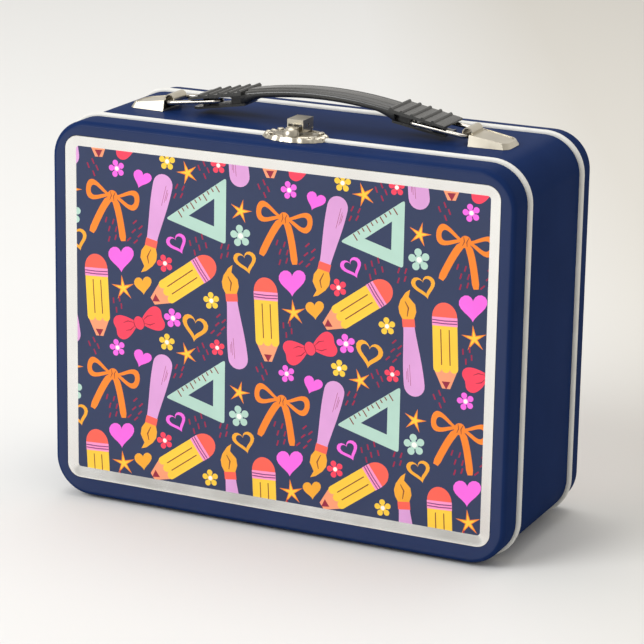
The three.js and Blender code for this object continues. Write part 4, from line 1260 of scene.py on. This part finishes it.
def make_bracket(side, way):
    node = f"handle_bracket_{side}"
    low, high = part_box(node)
    pivot = Vector(joints[f"bail_{side}_pivot"]["pos_m"])
    middle = (low.y + high.y) / 2
    inner_half = (high.y - low.y) / 2
    outer_x = max(abs(low.x), abs(high.x))
    inner_x = abs(pivot.x) + 1.6 * MM
    foot = band_high.z + SEAT

    def plan(shrink, reach):
        tip = outer_x - shrink
        outer = CAP_OUTER_HALF - shrink
        points = [(inner_x - reach, -(inner_half - shrink)), (tip - CAP_CLIP, -outer),
                  (tip - 0.25 * CAP_CLIP, -outer + 0.75 * CAP_CLIP), (tip, -outer + 1.6 * CAP_CLIP)]
        return [(way * x, middle + y) for x, y in points + [(x, -y) for x, y in reversed(points)]]

    def top_of(x, drop):
        share = (x - inner_x) / (outer_x - inner_x)
        return band_high.z + CAP_INNER_HEIGHT + (CAP_OUTER_HEIGHT - CAP_INNER_HEIGHT) * share - drop

    def flared(name, drop, reach, foot_level):
        """A block between the wide foot outline and the smaller sloping top."""
        points = [(x, y, foot_level) for x, y in plan(drop, reach)]
        points += [(x, y, top_of(abs(x), drop)) for x, y in plan(drop + CAP_FLARE, reach)]
        return between(name, points)

    cap = flared(f"bracket_cap_{side}", 0.0, 0.0, foot)
    combine(cap, flared("hollow", CAP_SHEET, MM, foot + CAP_SHEET), "DIFFERENCE")
    field = plan(CAP_FLARE + CAP_BORDER, -1.2 * MM)
    combine(cap, between("field", [(x, y, top_of(abs(x), drop)) for drop in (CAP_SUNK, -MM)
                                   for x, y in field]), "DIFFERENCE")
    centre_x = abs(pivot.x)
    arcs = [(CURL_OUTER, range(-40, 230, 9)), (CURL_INNER, range(221, -41, -9))]
    curl = [(way * (centre_x + radius * math.cos(math.radians(angle))),
             band_high.z + CURL_RISE + radius * math.sin(math.radians(angle)))
            for radius, angles in arcs for angle in angles]
    combine(cap, prism("curl", curl, "Y", middle - CURL_HALF, middle + CURL_HALF), "UNION")
    finish(cap, node, "case", nickel, 0.14 * MM, 24)


make_bracket("left", -1)
make_bracket("right", 1)


# === Bails ===================================================================================
# A bail is a rectangle of bright 2 mm wire with open ends. Its long side turns in the bracket's
# curl; the hooked ends reach into the window under the grip and slide as the handle lifts.

BAIL_REACH = 26 * MM
BAIL_REST = math.radians(7.5)
BAIL_HOOK = 3.4 * MM
BAIL_BEND = 2.4 * MM
WIRE_SIDES = 16


def wire_tube(name, path, radius):
    """A round wire along a path that lies in one plane, with domed ends."""
    stations = [(0, 0.35, -0.7), (0, 0.8, -0.35)]
    stations += [(index, 1.0, 0.0) for index in range(len(path))]
    stations += [(len(path) - 1, 0.8, 0.35), (len(path) - 1, 0.35, 0.7)]
    normal = (path[4] - path[0]).cross(path[len(path) // 2] - path[0]).normalized()
    rings = []
    for at, share, push in stations:
        run = (path[min(at + 1, len(path) - 1)] - path[max(at - 1, 0)]).normalized()
        side = run.cross(normal).normalized()
        middle = path[at] + run * push * radius
        turns = [2 * math.pi * step / WIRE_SIDES for step in range(WIRE_SIDES)]
        rings.append([middle + (side * math.cos(turn) + normal * math.sin(turn)) * radius * share
                      for turn in turns])
    made = hoop(name, rings, [(bright_wire, 0)], closed=False)
    fair_normals(made)
    return made


def make_bail(side, way):
    node = f"handle_bail_{side}"
    pivot = Vector(joints[f"bail_{side}_pivot"]["pos_m"])
    radius = 1 * MM
    half = half_of(node).y - radius
    tip = half - BAIL_HOOK
    route = [(BAIL_REACH, -tip)]
    for x, y, start in ((BAIL_REACH - BAIL_BEND, -half + BAIL_BEND, 0),
                        (BAIL_BEND, -half + BAIL_BEND, -90),
                        (BAIL_BEND, half - BAIL_BEND, -180),
                        (BAIL_REACH - BAIL_BEND, half - BAIL_BEND, -270)):
        for step in range(9):
            angle = math.radians(start - 90 * step / 8)
            route.append((x + BAIL_BEND * math.cos(angle), y + BAIL_BEND * math.sin(angle)))
    route.append((BAIL_REACH, tip))
    path = [pivot + Vector((-way * x * math.cos(BAIL_REST), y, x * math.sin(BAIL_REST)))
            for x, y in route]
    finish(wire_tube(f"bail_wire_{side}", path, radius), node, f"bail_{side}",
           bright_wire, 0.0, 60)


make_bail("left", -1)
make_bail("right", 1)


# === Grip ====================================================================================
# The grip is one moulding in charcoal plastic: a slim fluted arch for the fingers, and at each
# end a ribbed thumb plate over a thinner plate, with the bail wires running in between.

grip_plastic = coated("charcoal_moulding", (0.026, 0.026, 0.0245), (0.044, 0.044, 0.041),
                      rough=(0.2, 0.3), metal=0.0, patch=120, grain=3500, bump=0.3,
                      depth=0.06 * MM)
GRIP_ARCH_HALF = 36 * MM
GRIP_THICK = 4.3 * MM
GRIP_HALF_WIDE = 7.8 * MM
GRIP_CORE_HALF = 6.4 * MM
GRIP_ROOT_HALF = 4.6 * MM
GRIP_PLATE = 1.1 * MM
SHOULDER_RISE = 13.0 * MM
TIP_RISE = 8.1 * MM
UNDER_RISE = 6.1 * MM
UNDER_TIP_RISE = 1.8 * MM
WINDOW_START = 43 * MM
WINDOW_END = 54 * MM
STOP_LENGTH = 3 * MM
UNDER_LAP = 0.1 * MM
TOP_LAP = 0.4 * MM
LOWER_TIP = 2.5 * MM
RIB_PITCH = 4.9 * MM
RIB_RADIUS = 0.85 * MM
RIBS = 5
ARCH_STATIONS = 56
ARCH_SIDES = 72

grip_low, grip_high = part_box("handle_grip")
grip_x = (grip_low.x + grip_high.x) / 2
grip_y = (grip_low.y + grip_high.y) / 2
grip_half = (grip_high.x - grip_low.x) / 2
end_half_wide = (grip_high.y - grip_low.y) / 2
crown = grip_high.z


def arch_top(x):
    end = band_high.z + SHOULDER_RISE - 0.2 * MM
    return crown - (crown - end) * (x / (GRIP_ARCH_HALF + MM)) ** 2


def arch_under(x):
    foot = band_high.z + UNDER_RISE
    start = 26 * MM
    plain = arch_top(x) - GRIP_THICK
    if abs(x) <= start:
        return plain
    t = min((abs(x) - start) / (GRIP_ARCH_HALF - start), 1.0)
    return plain + (foot - plain) * t ** 2.4


def arch_section(x):
    """The fluted oval section at x, wider than it is tall."""
    top = arch_top(x)
    under = arch_under(x)
    middle = top - GRIP_THICK / 2
    points = []
    for step in range(ARCH_SIDES):
        angle = 2 * math.pi * step / ARCH_SIDES
        cosine = math.cos(angle)
        sine = math.sin(angle)
        y = GRIP_HALF_WIDE * math.copysign(abs(cosine) ** 0.62, cosine)
        reach = top - middle if sine > 0 else middle - under
        z = middle + reach * math.copysign(abs(sine) ** 0.7, sine)
        if sine > 0:
            z -= 0.75 * MM * math.exp(-((abs(y) - 4.4 * MM) / (0.75 * MM)) ** 2)
        points.append((grip_x + x, grip_y + y, z))
    return points


def make_arch():
    reach = GRIP_ARCH_HALF + MM
    rings = [arch_section(reach * (2 * station / ARCH_STATIONS - 1))
             for station in range(ARCH_STATIONS + 1)]
    made = hoop("moulded_grip", rings, [(grip_plastic, 0)], closed=False)
    fair_normals(made)
    return made


def along(x, near, far):
    """Height above the band at x, on a straight line from the shoulder to the tip."""
    share = (x - GRIP_ARCH_HALF) / (grip_half - GRIP_ARCH_HALF)
    return band_high.z + near + (far - near) * share


def top_at(x):
    return along(x, SHOULDER_RISE, TIP_RISE)


def under_at(x):
    return along(x, UNDER_RISE, UNDER_TIP_RISE)


def grip_block(way, corners, half_wide):
    outline = [(grip_x + way * x, z) for x, z in corners]
    return prism("block", outline, "Y", grip_y - half_wide, grip_y + half_wide)


def pillar(way, near, far):
    """A block that joins the two plates of an end, from near to far."""
    return grip_block(way, [(near, under_at(near) + UNDER_LAP), (far, under_at(far) + UNDER_LAP),
                            (far, top_at(far) - TOP_LAP), (near, top_at(near) - TOP_LAP)],
                      GRIP_ROOT_HALF)


grip = make_arch()
start = GRIP_ARCH_HALF - 0.5 * MM
tip = grip_half
lip = tip - LOWER_TIP
for way in (-1, 1):
    solids = [
        grip_block(way, [(start, top_at(start) - GRIP_PLATE - 0.5 * MM),
                         (tip, top_at(tip) - GRIP_PLATE), (tip, top_at(tip) - 0.3 * MM),
                         (tip - 0.5 * MM, top_at(tip)), (start, top_at(start))], end_half_wide),
        grip_block(way, [(start, under_at(start)), (lip, under_at(lip)),
                         (tip - MM, under_at(lip) + 0.2 * MM),
                         (tip - MM, under_at(lip) + 1.3 * MM),
                         (lip, under_at(lip) + GRIP_PLATE),
                         (start, under_at(start) + GRIP_PLATE)], GRIP_CORE_HALF),
        pillar(way, start, WINDOW_START),
        pillar(way, WINDOW_END, WINDOW_END + STOP_LENGTH),
    ]
    for index in range(RIBS):
        x = GRIP_ARCH_HALF + 0.5 * MM + index * RIB_PITCH
        bar = [(x + RIB_RADIUS * math.cos(math.radians(angle)),
                top_at(x) - 0.3 * MM + 1.25 * RIB_RADIUS * math.sin(math.radians(angle)))
               for angle in range(0, 181, 20)]
        solids.append(grip_block(way, bar, end_half_wide - 0.05 * MM))
    for solid in solids:
        combine(grip, solid, "UNION")


finish(grip, "handle_grip", "grip", grip_plastic, 0.22 * MM, 32)
